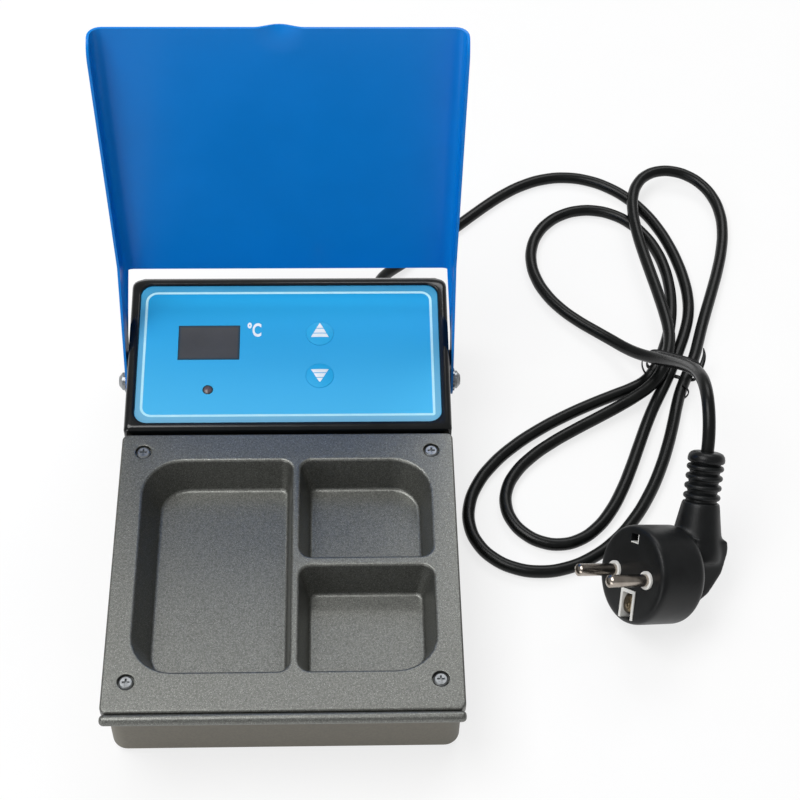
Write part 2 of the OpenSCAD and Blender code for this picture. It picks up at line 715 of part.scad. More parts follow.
// curve through listed points
function spline_at(p, i, t) =
    let (n = len(p) - 1, a = p[max(i - 1, 0)], b = p[i], c = p[i + 1], d = p[min(i + 2, n)])
    0.5 * (2 * b + (c - a) * t + (2 * a - 5 * b + 4 * c - d) * t * t + (3 * b - a - 3 * c + d) * t * t * t);
function spline(p, k) =
    concat([for (i = [0:len(p) - 2], j = [0:k - 1]) spline_at(p, i, j / k)], [p[len(p) - 1]]);
// soften a route, ends kept
function soften(p, n) = n == 0 ? p :
    let (m = len(p) - 1)
    soften([for (i = [0:m]) (i < 2 || i > m - 2) ? p[i] : (p[i - 1] + 2 * p[i] + p[i + 1]) / 4], n - 1);

// lead from the gland to the waist of the hank
lead_points = [[outlet_x, gland_y - 5.5, outlet_z], [outlet_x, gland_y, outlet_z], [37.2, 126.6, 9.4],
               [38.4, 132.2, 8], [41, 137.6, 6], [45, 142.7, 4.3], [50.4, 147.8, 3.1], [57, 153.6, lie],
               [66, 161.8, lie], [76, 171, lie], [88.5, 183, lie], [106, 198, lie], [128, 204, lie],
               [149, 196, lie], [164, 179, lie], [172.5, 158, lie], [177, 136, lie], [177, 116, lie],
               [171.5, 102, lie]];

// waist of the hank and the way the strands run through it
waist = [164, 84];
waist_dir = 70;
waist_half = 9;
step_x = cord_d + 0.75;
step_z = cord_d + 0.55;
waist_z = lie + 1.3;

// loops: way, length, half width, turn, side at both ends, pinch, lean, rings kept, levels, bluntness
loops = [[228, 102, 36, 1, 0, -0.4, 2.2, 2, 26, [0, 0, 0, 0, 0, 0.15, 1], 0],
         [82.2, 111.4, 32.2, 1, -0.46, 1.49, 1.85, 4.8, 26, [1, 1, 1, 0.8, 0, 0, 0], 0.15],
         [230, 120, 41, 1, 1, -1, 1.1, -5, 26, [0, 0, 0, 0, 0, 0, 0], 0],
         [118, 95, 37, -1, -1, -1.6, 0.65, -3.5, 23, [0, 0, 0, 0, 0, 0, 0.6], 0]];
loop_rings = 26;
level_at = [0, 0.18, 0.34, 0.5, 0.66, 0.82, 1];

// one drop-shaped loop leaving and meeting the waist
function loop_at(g, t) =
    let (a = g[0], f = 360 * t, wx = cos(waist_dir), wy = sin(waist_dir),
         e = a > 180 ? -waist_half : waist_half,
         c2 = pow(cos(f / 2), 2),
         u = g[1] * (1 - c2 * (1 - g[10] + g[10] * c2)),
         v = g[3] * g[2] * sin(f) * pow(abs(sin(f / 2)), g[6]) + g[7] * pow(sin(f / 2), 4),
         near = pow(abs(cos(f / 2)), 3),
         side = mix(g[4], g[5], ease(t)) * step_x * (0.35 + 0.65 * near),
         lift = lookup(t, [for (i = [0:6]) [level_at[i], g[9][i]]]) * step_z)
    [waist[0] + e * wx + u * cos(a) - v * sin(a) + side * wy,
     waist[1] + e * wy + u * sin(a) + v * cos(a) - side * wx,
     lie + (waist_z - lie) * near + lift];
hank_raw = [for (g = loops) for (i = [0:g[8]]) loop_at(g, i / loop_rings)];

// tail from the hank up and over to the plug
relief_end = plug_at + turned([0, relief_y, relief_z]);
relief_in = plug_at + turned([0, relief_y - 5, relief_z]);
relief_far = plug_at + turned([0, relief_y + 5.5, relief_z]);
tail_points = [[143, 92, 7], [154, 83, 13.5], [160, 73, 23], [162.8, 63, 33.5], [163.8, 54.4, 42],
               [164.2, 46, 49.8], [164.4, 37.8, 55.4], [164.5, 29.3, 57], [164.4, 20.6, 55.6],
               relief_far, relief_end, relief_in];
function turned(v) =
    let (a = plug_turn[0], b = plug_turn[1], c = plug_turn[2],
         x1 = v[0], y1 = v[1] * cos(a) - v[2] * sin(a), z1 = v[1] * sin(a) + v[2] * cos(a),
         x2 = x1 * cos(b) + z1 * sin(b), y2 = y1, z2 = -x1 * sin(b) + z1 * cos(b))
    [x2 * cos(c) - y2 * sin(c), x2 * sin(c) + y2 * cos(c), z2];

lead_path = spline(lead_points, 2);
tail_path = spline(tail_points, 2);
n_lead = len(lead_path);
n_hank = len(hank_raw);
route = soften(concat(lead_path, hank_raw, tail_path), 3);

function way_at(p, i) = unit3(p[min(i + 1, len(p) - 1)] - p[max(i - 1, 0)]);
function ring(p, i, n) =
    let (t = way_at(p, i), s = unit3(cross([0, 0, 1], t)), u = cross(t, s))
    [for (k = [0:n - 1]) p[i] + cord_r * (cos(360 * k / n) * s + sin(360 * k / n) * u)];

// tube over the part of the route from ring i0 to ring i1
module tube(p, i0, i1, n) {
    m = i1 - i0;
    polyhedron(points = [for (i = [i0:i1]) for (q = ring(p, i, n)) q],
               faces = concat([[for (k = [0:n - 1]) k]], [[for (k = [n - 1:-1:0]) m * n + k]],
                              [for (i = [0:m - 1], k = [0:n - 1], h = [0, 1])
                                  let (a = i * n + k, b = i * n + (k + 1) % n, c = a + n, d = b + n)
                                  h == 0 ? [a, c, b] : [b, c, d]]));
}

// least gap of the cord to itself, measured on points along the route
fine = spline(route, 3);
gap_list = [for (i = [0:len(fine) - 13], j = [i + 12:len(fine) - 1]) norm(fine[i] - fine[j])];
echo(least_gap = min(gap_list) - cord_d);
echo(cord_length = sum_len(route, 0));
function sum_len(p, i) = i >= len(p) - 1 ? 0 : norm(p[i + 1] - p[i]) + sum_len(p, i + 1);

module cord_lead() color([0.11, 0.12, 0.12]) tube(route, 0, n_lead - 1, 8);

module cord_hank() color([0.11, 0.12, 0.12]) tube(route, n_lead - 1, n_lead + n_hank, 8);

module cord_tail() color([0.11, 0.12, 0.12]) tube(route, n_lead + n_hank, len(route) - 1, 8);

// wire tie round the waist of the hank, its ends twisted together beside it
module cord_tie() color([0.06, 0.06, 0.07])
    translate([waist[0], waist[1], 0]) rotate([0, 0, waist_dir - 90]) rotate([90, 0, 0]) {
        w = 3.5 * step_x + 2.4;
        h = waist_z + step_z + cord_r + 1.5;
        linear_extrude(3, center = true) difference() {
            translate([0.4, h / 2]) rounded(w, h, 3);
            translate([0.4, h / 2]) rounded(w - 1.6, h - 1.6, 2.2);
        }
        translate([w / 2 + 3.5, h * 0.5, 0]) cube([8, 1, 3], center = true);
    }

module plug_at_place() {
    translate(plug_at) rotate(plug_turn) children();
}

module plug_body() color([0.10, 0.10, 0.11]) plug_at_place() difference() {
    union() {
        translate([0, 0, -barrel_l]) cylinder(d = plug_d, h = barrel_l);
        translate([0, 0, -barrel_l - 3]) cylinder(d1 = plug_d - 6, d2 = plug_d, h = 3);
        // grip at the back of the barrel
        translate([-9, 0, 0]) rotate([90, 0, 90]) linear_extrude(18)
            polygon([[-14, -barrel_l + 1], [-11, -26], [-6, -33], [2, -38.5], [11, relief_z - 9.5],
                     [15, relief_z - 8.5], [15, -barrel_l + 1]]);
        // neck and ribbed relief towards the cord
        translate([0, 10, relief_z]) rotate([-90, 0, 0]) {
            cylinder(d1 = 21.5, d2 = relief_d, h = neck_y - 10);
            cylinder(d = 10.4, h = relief_y - 10);
            for (i = [0:3]) translate([0, 0, neck_y - 10 + 0.9 + i * 3.8]) cylinder(d = relief_d, h = 2);
            translate([0, 0, relief_y - 10 - 3.8]) cylinder(d = relief_d, h = 3.8);
        }
    }
    // cord bore, insert bores, earth slot and notch
    translate([0, relief_y - 5, relief_z]) rotate([-90, 0, 0]) cylinder(d = cord_d + 2 * fit_gap, h = 20);
    for (a = [-1, 1]) translate([a * pin_pitch / 2, 0, -9]) cylinder(d = collar_d + 2 * fit_gap, h = 20);
    slab(-slot_w / 2, slot_w / 2, -slot_out, -slot_in, -16, 5);
    slab(-2.2, 2.2, notch_in, notch_in + 3.6, -5, 5);
}

module plug_pins() color([0.78, 0.77, 0.74]) plug_at_place()
    for (a = [-1, 1]) translate([a * pin_pitch / 2, 0, 0]) {
        // thinner root held in the collar, then the free pin with a rounded tip
        translate([0, 0, -8.9]) cylinder(d = pin_root, h = 8.9 + collar_rise + 1);
        translate([0, 0, collar_rise]) cylinder(d = pin_d, h = pin_l - 2.2 - collar_rise);
        translate([0, 0, pin_l - 2.4]) intersection() {
            cylinder(d = pin_d, h = 2.4);
            translate([0, 0, 2.4 - 3.2]) sphere(3.2);
        }
    }

// pale insert: a collar round each pin and a lining in the earth slot
module plug_insert() color([0.90, 0.90, 0.88]) plug_at_place() {
    for (a = [-1, 1]) translate([a * pin_pitch / 2, 0, -8.9]) difference() {
        cylinder(d = collar_d, h = 8.9 + collar_rise);
        translate([0, 0, -1]) cylinder(d = pin_root + 2 * fit_gap, h = 20);
    }
    difference() {
        slab(-slot_w / 2 + fit_gap, slot_w / 2 - fit_gap, -slot_out + fit_gap, -slot_in - fit_gap, -15.9, 0.3);
        slab(-slot_w / 2 + 1.3, slot_w / 2 - 1.3, -slot_out - 1, -slot_in - 1.4, -14.7, 5);
    }
}

module plug_earth() color([0.80, 0.79, 0.76]) plug_at_place() {
    // spring blade along the inner end of the slot, with a dimpled foot on its floor
    slab(-2.6, 2.6, -slot_in - 2.5, -slot_in - 1.5, -14.6, -1);
    slab(-2.6, 2.6, -slot_out + 1, -slot_in - 1.5, -14.6, -13.6);
    translate([0, -slot_out + 5, -13.7]) cylinder(d1 = 3.4, d2 = 2.2, h = 1);
}

base_case();
bottom_plate();
bottom_screws();
rubber_feet();
wax_tray();
tray_screws();
heater_plate();
clamp_plate();
clamp_screws();
insulation_pad();
temperature_sensor();
thermal_fuse();
control_housing();
panel_overlay();
up_key();
down_key();
key_switches();
display_window();
display_module();
indicator_lamp();
circuit_board();
board_screws();
power_relay();
power_supply();
terminal_block();
cord_gland();
lid();
pivot_screws();
star_washers();
pivot_spacers();
pivot_nuts();
cord_lead();
cord_hank();
cord_tail();
cord_tie();
plug_body();
plug_pins();
plug_insert();
plug_earth();
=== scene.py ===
# %% [markdown]
# # A wax dipping pot
# A small heated tray with three wells for melted wax, a control panel behind it, and a sheet-steel lid
# that swings up on two side screws. A mains cord comes out of the back and lies beside it in a tied hank.
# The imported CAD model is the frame: every piece made here sits in the same place and rides the same body.

# %% Load the frame
import math
import bpy
import bmesh
from mathutils import Euler, Matrix, Vector


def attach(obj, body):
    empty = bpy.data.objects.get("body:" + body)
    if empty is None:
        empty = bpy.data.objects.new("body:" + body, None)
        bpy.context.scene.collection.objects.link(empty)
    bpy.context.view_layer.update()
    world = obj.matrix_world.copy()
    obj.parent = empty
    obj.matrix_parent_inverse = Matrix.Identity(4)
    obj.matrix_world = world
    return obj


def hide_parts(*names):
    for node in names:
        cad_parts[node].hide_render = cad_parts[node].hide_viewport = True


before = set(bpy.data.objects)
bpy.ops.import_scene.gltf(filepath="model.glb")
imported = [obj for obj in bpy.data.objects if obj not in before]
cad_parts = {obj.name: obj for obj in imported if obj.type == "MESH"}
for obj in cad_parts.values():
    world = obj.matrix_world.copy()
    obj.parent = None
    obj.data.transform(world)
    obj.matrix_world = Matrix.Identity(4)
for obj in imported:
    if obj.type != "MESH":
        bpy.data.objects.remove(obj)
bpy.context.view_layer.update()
scene = bpy.context.scene
scene.view_settings.view_transform = "Standard"
for name in ("Cube", "Light", "Camera"):
    spare = bpy.data.objects.get(name)
    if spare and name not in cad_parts:
        bpy.data.objects.remove(spare)
MM = 0.001

# %% [markdown]
# ## Camera
# The pot is seen from high in front, a little to the right, with a long lens, so its sides stay nearly
# parallel. The lens and place were worked out from the corners of the tray and the panel.

# %% Camera
lens = bpy.data.cameras.new("studio_camera")
lens.sensor_width = 36
lens.lens = 81
camera = bpy.data.objects.new("studio_camera", lens)
camera.location = (0.02178, -0.40002, 0.61137)
camera.rotation_euler = [math.radians(a) for a in (37.640, -1.227, -1.378)]
scene.collection.objects.link(camera)
scene.camera = camera
print("camera at", [round(v, 3) for v in camera.location])

# %% [markdown]
# ## Colours and nodes
# Colours are written as sRGB hex, as a picture shows them, and Cycles wants linear light, so one function
# turns them. The others add a node with its settings and links, make a material with a fine grain, and
# mix a second colour into it.

# %% Colour and node helpers
def tint(code):
    parts = [int(code[i:i + 2], 16) / 255 for i in (1, 3, 5)]
    return [c / 12.92 if c <= 0.04045 else ((c + 0.055) / 1.055) ** 2.4 for c in parts] + [1.0]


def add(tree, kind, settings=None, links=None):
    node = tree.nodes.new(kind)
    for key, value in (settings or {}).items():
        if isinstance(key, int) or key in node.inputs:
            node.inputs[key].default_value = value
        else:
            setattr(node, key, value)
    for key, socket in (links or {}).items():
        tree.links.new(socket, node.inputs[key])
    return node


# the part of a noise's range that is used, and the sockets of a Mix node that mixes colours
NOISE_LOW, NOISE_HIGH = 0.3, 0.7
MIX_FACTOR, MIX_A, MIX_B, MIX_RESULT = 0, 6, 7, 2


def ramp(tree, factor, first, second, start=0.0, end=1.0):
    """A colour that goes from one tint to another while the factor goes from start to end."""
    made = add(tree, "ShaderNodeValToRGB", links={"Fac": factor})
    for element, position, code in zip(made.color_ramp.elements, (start, end), (first, second)):
        element.position = position
        element.color = tint(code)
    return made.outputs["Color"]


def tree_and_place(made):
    """A material's node tree and the socket of its Object coordinates."""
    return made.node_tree, made.node_tree.nodes["Texture Coordinate"].outputs["Object"]


def mix_in(made, code, factor):
    """Mix one more tint into a material's colour, as far as the factor says."""
    tree = made.node_tree
    colour = tree.nodes["Principled BSDF"].inputs["Base Color"]
    mixed = add(tree, "ShaderNodeMix", {"data_type": "RGBA", MIX_B: tint(code)},
                {MIX_FACTOR: factor, MIX_A: colour.links[0].from_socket})
    tree.links.new(mixed.outputs[MIX_RESULT], colour)


def grained(name, dark, light, grain, rough, bump, bump_grain=None, **sockets):
    """A material whose colour drifts between two tints over `grain` mm, with a fine relief `bump` mm high."""
    made = bpy.data.materials.new(name)
    made.use_nodes = True
    tree = made.node_tree
    shader = tree.nodes["Principled BSDF"]
    for key, value in sockets.items():
        shader.inputs[key.replace("_", " ")].default_value = value
    place = add(tree, "ShaderNodeTexCoord")
    noise = add(tree, "ShaderNodeTexNoise", {"Scale": 1000 / grain, "Detail": 3.0, "Roughness": 0.55},
                {"Vector": place.outputs["Object"]})
    drift = noise.outputs["Fac"]
    tree.links.new(ramp(tree, drift, dark, light, NOISE_LOW, NOISE_HIGH), shader.inputs["Base Color"])
    gloss = add(tree, "ShaderNodeMapRange", {"From Min": NOISE_LOW, "From Max": NOISE_HIGH,
                                             "To Min": rough[0], "To Max": rough[1]}, {"Value": drift})
    tree.links.new(gloss.outputs["Result"], shader.inputs["Roughness"])
    fine = add(tree, "ShaderNodeTexNoise", {"Scale": 1000 / (bump_grain or grain / 3), "Detail": 2.0},
               {"Vector": place.outputs["Object"]})
    relief = add(tree, "ShaderNodeBump", {"Distance": bump * MM, "Strength": 1.0},
                 {"Height": fine.outputs["Fac"]})
    tree.links.new(relief.outputs["Normal"], shader.inputs["Normal"])
    return made


print("white is", tint("#FFFFFF")[:3])

# %% [markdown]
# ## Cord sheath
# The cord is round soft PVC, drawn through a die: black, with a satin gloss and a faint unevenness along
# it. A grain of a few millimetres breaks the highlight a little, as on a cord that has been coiled.

# %% Cord material
pvc_cord = grained("soft_pvc_black", "#0B0C0C", "#131514", 9, (0.25, 0.34), 0.05, 2.5, IOR=1.3)

# %% [markdown]
# ## Cord
# The route is the one that the CAD part gives: out of the gland at the back, round to the right,
# through four drop-shaped loops held at one waist, and up over to the plug. A curve through these points
# with a round bevel is the simplest true tube, and its own line is the length of the cord.

# %% Cord route
CORD_D = 5.2
CORD_R = CORD_D / 2
LIE = CORD_R + 0.05
OUTLET = Vector((37, 121, 9.8))
PLUG_AT = Vector((131.5, -34.5, 26.5))
PLUG_TURN = Euler([math.radians(a) for a in (58, -36, -52)])
plug_place = Matrix.Translation(PLUG_AT) @ PLUG_TURN.to_matrix().to_4x4()
RELIEF_Y, RELIEF_Z = 48.5, -31
COLLAR_R = 3.6
lead = [(37, 115.5, 9.8), OUTLET, (37.2, 126.6, 9.4), (38.4, 132.2, 8), (41, 137.6, 6), (45, 142.7, 4.3),
        (50.4, 147.8, 3.1), (57, 153.6, LIE), (66, 161.8, LIE), (76, 171, LIE), (88.5, 183, LIE),
        (106, 198, LIE), (128, 204, LIE), (149, 196, LIE), (164, 179, LIE), (172.5, 158, LIE),
        (177, 136, LIE), (177, 116, LIE), (171.5, 102, LIE)]
tail = [(143, 92, 7), (154, 83, 13.5), (160, 73, 23), (162.8, 63, 33.5), (163.8, 54.4, 42),
        (164.2, 46, 49.8), (164.4, 37.8, 55.4), (164.5, 29.3, 57), (164.4, 20.6, 55.6)]
tail += [plug_place @ Vector((0, RELIEF_Y + d, RELIEF_Z)) for d in (5.5, 0, -5)]
# way, length, half width, turn, side at both ends, pinch, lean, steps kept, levels, bluntness
loops = [(228, 102, 36, 1, 0, -0.4, 2.2, 2, 26, (0, 0, 0, 0, 0, 0.15, 1), 0),
         (82.2, 111.4, 32.2, 1, -0.46, 1.49, 1.85, 4.8, 26, (1, 1, 1, 0.8, 0, 0, 0), 0.15),
         (230, 120, 41, 1, 1, -1, 1.1, -5, 26, (0, 0, 0, 0, 0, 0, 0), 0),
         (118, 95, 37, -1, -1, -1.6, 0.65, -3.5, 23, (0, 0, 0, 0, 0, 0, 0.6), 0)]
LEVEL_AT = (0, 0.18, 0.34, 0.5, 0.66, 0.82, 1)
WAIST = Vector((164, 84, 0))
WAIST_WAY = Vector((math.cos(math.radians(70)), math.sin(math.radians(70)), 0))
WAIST_SIDE = Vector((WAIST_WAY.y, -WAIST_WAY.x, 0))
WAIST_Z = LIE + 1.3
WAIST_HALF = 9
STEP_X, STEP_Z = CORD_D + 0.75, CORD_D + 0.55
LOOP_STEPS = 26


def halved(points):
    """The points with one more between each two, on a smooth curve through them."""
    points = [Vector(p) for p in points]
    last = len(points) - 1
    made = []
    for i in range(last):
        a, b, c, d = points[max(i - 1, 0)], points[i], points[i + 1], points[min(i + 2, last)]
        made += [b, 0.5 * (2 * b + (c - a) * 0.5 + (2 * a - 5 * b + 4 * c - d) * 0.25
                           + (3 * b - a - 3 * c + d) * 0.125)]
    return made + [points[last]]


def level(t, heights):
    """Height of a loop at t, in steps of one cord, between the listed levels."""
    for t0, t1, h0, h1 in zip(LEVEL_AT, LEVEL_AT[1:], heights, heights[1:]):
        if t <= t1:
            return h0 + (h1 - h0) * (t - t0) / (t1 - t0)
    return heights[-1]


def on_loop(row, t):
    way, length, half, turn, side0, side1, pinch, lean, _, heights, blunt = row
    out = Vector((math.cos(math.radians(way)), math.sin(math.radians(way)), 0))
    across = Vector((-out.y, out.x, 0))
    half_turn = math.pi * t
    c2 = math.cos(half_turn) ** 2
    reach = length * (1 - c2 * (1 - blunt + blunt * c2))
    sway = turn * half * math.sin(2 * half_turn) * abs(math.sin(half_turn)) ** pinch
    sway += lean * math.sin(half_turn) ** 4
    near = abs(math.cos(half_turn)) ** 3
    side = (side0 + (side1 - side0) * t * t * (3 - 2 * t)) * STEP_X * (0.35 + 0.65 * near)
    start = WAIST + WAIST_WAY * (-WAIST_HALF if way > 180 else WAIST_HALF)
    up = LIE + (WAIST_Z - LIE) * near + level(t, heights) * STEP_Z
    return start + out * reach + across * sway + WAIST_SIDE * side + Vector((0, 0, up))


hank = [on_loop(row, i / LOOP_STEPS) for row in loops for i in range(row[8] + 1)]
route = halved(lead) + hank + halved(tail)
for _ in range(3):
    soft = [(a + 2 * b + c) / 4 for a, b, c in zip(route[1:], route[2:], route[3:-1])]
    route = route[:2] + soft + route[-2:]
cord_length = sum((b - a).length for a, b in zip(route, route[1:])) * MM
print("cord points", len(route), "length", round(cord_length, 3))

# %% Cord curve
line = bpy.data.curves.new("mains_cord", "CURVE")
line.dimensions = "3D"
line.bevel_depth = CORD_R * MM
line.bevel_resolution = 5
line.resolution_u = 5
line.use_fill_caps = True
strand = line.splines.new("BEZIER")
strand.bezier_points.add(len(route) - 1)
for knot, spot in zip(strand.bezier_points, route):
    knot.co = spot * MM
    knot.handle_left_type = knot.handle_right_type = "AUTO"
line.materials.append(pvc_cord)
cord = bpy.data.objects.new("mains_cord", line)
scene.collection.objects.link(cord)
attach(cord, "pot")
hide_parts("cord_lead", "cord_hank", "cord_tail")

# %% [markdown]
# ## Making a piece
# New pieces are drawn in millimetres and made metres at the end. Edges sharper than the crease angle stay
# sharp, the rest shades smoothly, and a Weighted Normal modifier keeps large flats flat beside small
# fillets.

# %% Piece helper
def piece(name, bm, material, body="pot", stands_for=(), crease=38, weigh=True):
    bmesh.ops.remove_doubles(bm, verts=bm.verts, dist=0.003)
    bmesh.ops.recalc_face_normals(bm, faces=bm.faces)
    bmesh.ops.scale(bm, vec=(MM, MM, MM), verts=bm.verts)
    for face in bm.faces:
        face.smooth = True
    for edge in bm.edges:
        edge.smooth = len(edge.link_faces) != 2 or edge.calc_face_angle() < math.radians(crease)
    mesh = bpy.data.meshes.new(name)
    bm.to_mesh(mesh)
    bm.free()
    mesh.materials.append(material)
    made = bpy.data.objects.new(name, mesh)
    scene.collection.objects.link(made)
    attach(made, body)
    if stands_for:
        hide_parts(*stands_for)
    if weigh:
        made.modifiers.new("flat_faces", "WEIGHTED_NORMAL").keep_sharp = True
    print(name, "faces", len(mesh.polygons))
    return made


def ring(bm, x0, x1, y0, y1, radii, height, steps=7):
    """Edges of one rounded rectangle; height is a number or a function of x and y."""
    before = set(bm.edges)
    corners = bmesh.ops.create_grid(bm, x_segments=1, y_segments=1, size=0.5)["verts"]
    bends = [(v, max(radii[(v.co.x > 0) + 2 * (v.co.y > 0)], 0.02)) for v in corners]
    for v in corners:
        v.co = (x1 if v.co.x > 0 else x0, y1 if v.co.y > 0 else y0, 0)
    for v, radius in bends:
        bmesh.ops.bevel(bm, geom=[v], offset=radius, offset_type="OFFSET", segments=steps, profile=0.5,
                        affect="VERTICES", material=-1)
    edges = [e for e in bm.edges if e not in before]
    faces = {f for e in edges for f in e.link_faces}
    bmesh.ops.delete(bm, geom=list(faces), context="FACES_ONLY")
    for v in {v for e in edges for v in e.verts}:
        v.co.z = height(v.co.x, v.co.y) if callable(height) else height
    return edges


def circle(bm, x, y, radius, height, segments=40):
    before = set(bm.edges)
    verts = bmesh.ops.create_circle(bm, segments=segments, radius=radius)["verts"]
    for v in verts:
        v.co.x += x
        v.co.y += y
        v.co.z = height(v.co.x, v.co.y) if callable(height) else height
    return [e for e in bm.edges if e not in before]


def quarter(steps):
    """The angles of a quarter turn in equal steps."""
    return [math.radians(90 / steps * k) for k in range(steps + 1)]


def verts_of(geom):
    return [g for g in geom if isinstance(g, bmesh.types.BMVert)]


def skin(bm, loops_in_order):
    for a, b in zip(loops_in_order, loops_in_order[1:]):
        bmesh.ops.bridge_loops(bm, edges=a + b)


# %% [markdown]
# ## Tray coating
# The tray is die-cast and sprayed with a dark grey non-stick coat. It has a dense fine sparkle: tiny pale
# flakes in a grey ground. Real flakes are about 0.1 mm; they are drawn at 0.4 mm so that they show.

# %% Tray material
tray_coat = grained("sprayed_tray_coat", "#62635F", "#7D7E7A", 0.8, (0.37, 0.47), 0.05, 0.5, IOR=1.5,
                    Metallic=0.84)
FLAKE = 0.4
tree, place = tree_and_place(tray_coat)
flakes = add(tree, "ShaderNodeTexVoronoi", {"Scale": 1000 / FLAKE, "Randomness": 1.0}, {"Vector": place})
bright = ramp(tree, flakes.outputs["Distance"], "#FFFFFF", "#000000", 0.12, 0.30)
mix_in(tray_coat, "#B6B7B3", bright)

# %% [markdown]
# ## Tray
# One plate with three wells, each with a rounded rim, leaning walls and a filleted floor. A well is a
# stack of rounded rectangles joined by Bridge, so every fillet is a few thin bands. The flat top between
# the wells is one Triangle Fill around their rims, the counterbores and the outline.

# %% Tray
HALF_W = 65
TOP, PLATE_Z, WELL_Z, BLOCK_Z = 40.0, 36, 25, 22
TRAY_FRONT, TRAY_REAR, TRAY_CORNER, TRAY_EDGE = -98, 24, 2.5, 0.9
# x from and to, y from and to, corner radii, and how far the floor lies to the right
WELLS = [(-55.4, 2.0, -82.0, 11.0, (15, 4.6, 15, 4.6), 1.8),
         (5.0, 55.4, -33.5, 11.0, (4.6, 4.6, 4.6, 15), 0),
         (5.0, 55.4, -82.0, -37.5, (4.6, 15, 4.6, 4.6), 0)]
SCREWS = [(x, y) for x in (-56.3, 56.3) for y in (15.5, -85.8)]
BORE = ((3.5, TOP), (3.25, TOP - 0.12), (3.2, TOP - 0.4), (3.2, 38.1))
RIM_R, RIM_IN, WALL_LEAN, FLOOR_R, FLOOR_CORNER = 1.3, 0.2, 3.3, 1.6, 3.4


def well(bm, x0, x1, y0, y1, radii, sway):
    rings = []
    for a in quarter(5):
        out = RIM_R * (1 - math.sin(a)) - RIM_IN
        rings.append(ring(bm, x0 - out, x1 + out, y0 - out, y1 + out, [r + out for r in radii],
                          TOP - RIM_R * (1 - math.cos(a))))
    for a in quarter(5):
        inn = WALL_LEAN + FLOOR_R * (1 - math.cos(a))
        floor_radii = [max(r - inn, FLOOR_CORNER - FLOOR_R * (1 - math.cos(a))) for r in radii]
        rings.append(ring(bm, x0 + inn + sway, x1 - inn + sway, y0 + inn, y1 - inn, floor_radii,
                          WELL_Z + FLOOR_R * (1 - math.sin(a))))
    skin(bm, rings)
    bmesh.ops.edgeloop_fill(bm, edges=rings[-1])
    return rings[0]


bm = bmesh.new()
openings = [well(bm, *row) for row in WELLS]
for x, y in SCREWS:
    bores = [circle(bm, x, y, r, z) for r, z in BORE]
    skin(bm, bores)
    bmesh.ops.edgeloop_fill(bm, edges=bores[-1])
    openings.append(bores[0])
sides = []
for a in quarter(4):
    inn = TRAY_EDGE * (1 - math.sin(a))
    sides.append(ring(bm, -HALF_W + inn, HALF_W - inn, TRAY_FRONT + inn, TRAY_REAR - inn,
                      [TRAY_CORNER - inn] * 4, TOP - TRAY_EDGE * (1 - math.cos(a))))
sides.append(ring(bm, -HALF_W, HALF_W, TRAY_FRONT, TRAY_REAR, [TRAY_CORNER] * 4, PLATE_Z))
sides.append(ring(bm, -57.8, 57.8, -84.4, 13.4, [17] * 4, PLATE_Z))
sides.append(ring(bm, -55.8, 55.8, -82.4, 11.4, [15] * 4, BLOCK_Z))
skin(bm, sides)
bmesh.ops.edgeloop_fill(bm, edges=sides[-1])
bmesh.ops.triangle_fill(bm, use_beauty=True, edges=[e for loop in openings + [sides[0]] for e in loop])
piece("cast_tray", bm, tray_coat, stands_for=["wax_tray"])

# %% [markdown]
# ## Front bead
# Along the front of the tray runs a half-round bead, parted from the plate by a narrow groove. It is a
# cylinder with its ends rounded by a bevel, on a thin web under the groove.

# %% Front bead
BEAD_R, BEAD_END = 2, 1.6
bm = bmesh.new()
turn = Matrix.Translation((0, TRAY_FRONT - BEAD_R, TOP - BEAD_R)) @ Matrix.Rotation(math.radians(90), 4, "Y")
bmesh.ops.create_cone(bm, cap_ends=True, segments=32, radius1=BEAD_R, radius2=BEAD_R, depth=2 * HALF_W,
                      matrix=turn)
ends = [e for e in bm.edges if abs(e.verts[0].co.x - e.verts[1].co.x) < 0.1]
bmesh.ops.bevel(bm, geom=ends, offset=BEAD_END, offset_type="OFFSET", segments=4, profile=0.5,
                affect="EDGES", material=-1)
web = Matrix.Translation((0, -97.6, 37.4)) @ Matrix.Diagonal((125, 4.6, 1.8, 1))
bmesh.ops.create_cube(bm, size=1, matrix=web)
piece("tray_bead", bm, tray_coat)

# %% [markdown]
# ## Control housing
# A black ABS moulding with a sloping face. A raised frame runs round a shallow recess for the printed
# film, and the top edges are softly rounded. It is built like the tray: rings on the sloping plane, then
# a floor filled round the holes for window, lamp and keys, and an inner skin so that it is hollow.

# %% Housing material
abs_black = grained("moulded_abs_black", "#0A0C0D", "#101315", 14, (0.14, 0.22), 0.012, 1.2, IOR=1.45)

# %% Control housing
SLOPE = math.radians(7.5)
PANEL = Vector((0, 29.4, 40))
down_in = Vector((0, math.sin(SLOPE), -math.cos(SLOPE)))
# on the panel x runs to the right and s up the slope from its front edge, both in mm
PANEL_HALF, PANEL_L, PANEL_CORNER = 61, 65, 5
KEY_X, UP_KEY_S, DOWN_KEY_S, KEY_HOLE_R = 12.5, 41.5, 21.5, 5.8
LAMP_X, LAMP_S, LAMP_HOLE_R = -32.3, 15.3, 2.15
WINDOW_X, WINDOW_S, WINDOW_HALF_X, WINDOW_HALF_S = -32.5, 37.5, 12.5, 8.1
RECESS, HOLE_DEEP, CEILING = -0.42, 2.18, -2.6
HOUSE_FRONT, HOUSE_REAR, HOUSE_Z = 25.8, 102, 16
EDGE_R, BACK_R, REAR_R, FRONT_CORNER, LIP_R, PLAY = 2.4, 8.0, 8.0, 1.5, 0.7, 0.15
INSIDE = (-62.6, 62.6, 28.2, 99.6, (1, 1, 2.6, 2.6))
PIVOT, LID_OPEN = (0, 62.5, 25), math.radians(-91.5)
RIB_AT, RIB_TURN, RIB_SIZE = (65.6, -4.24, 7.44), math.radians(-16.6), (3.2, 6, 2.4)


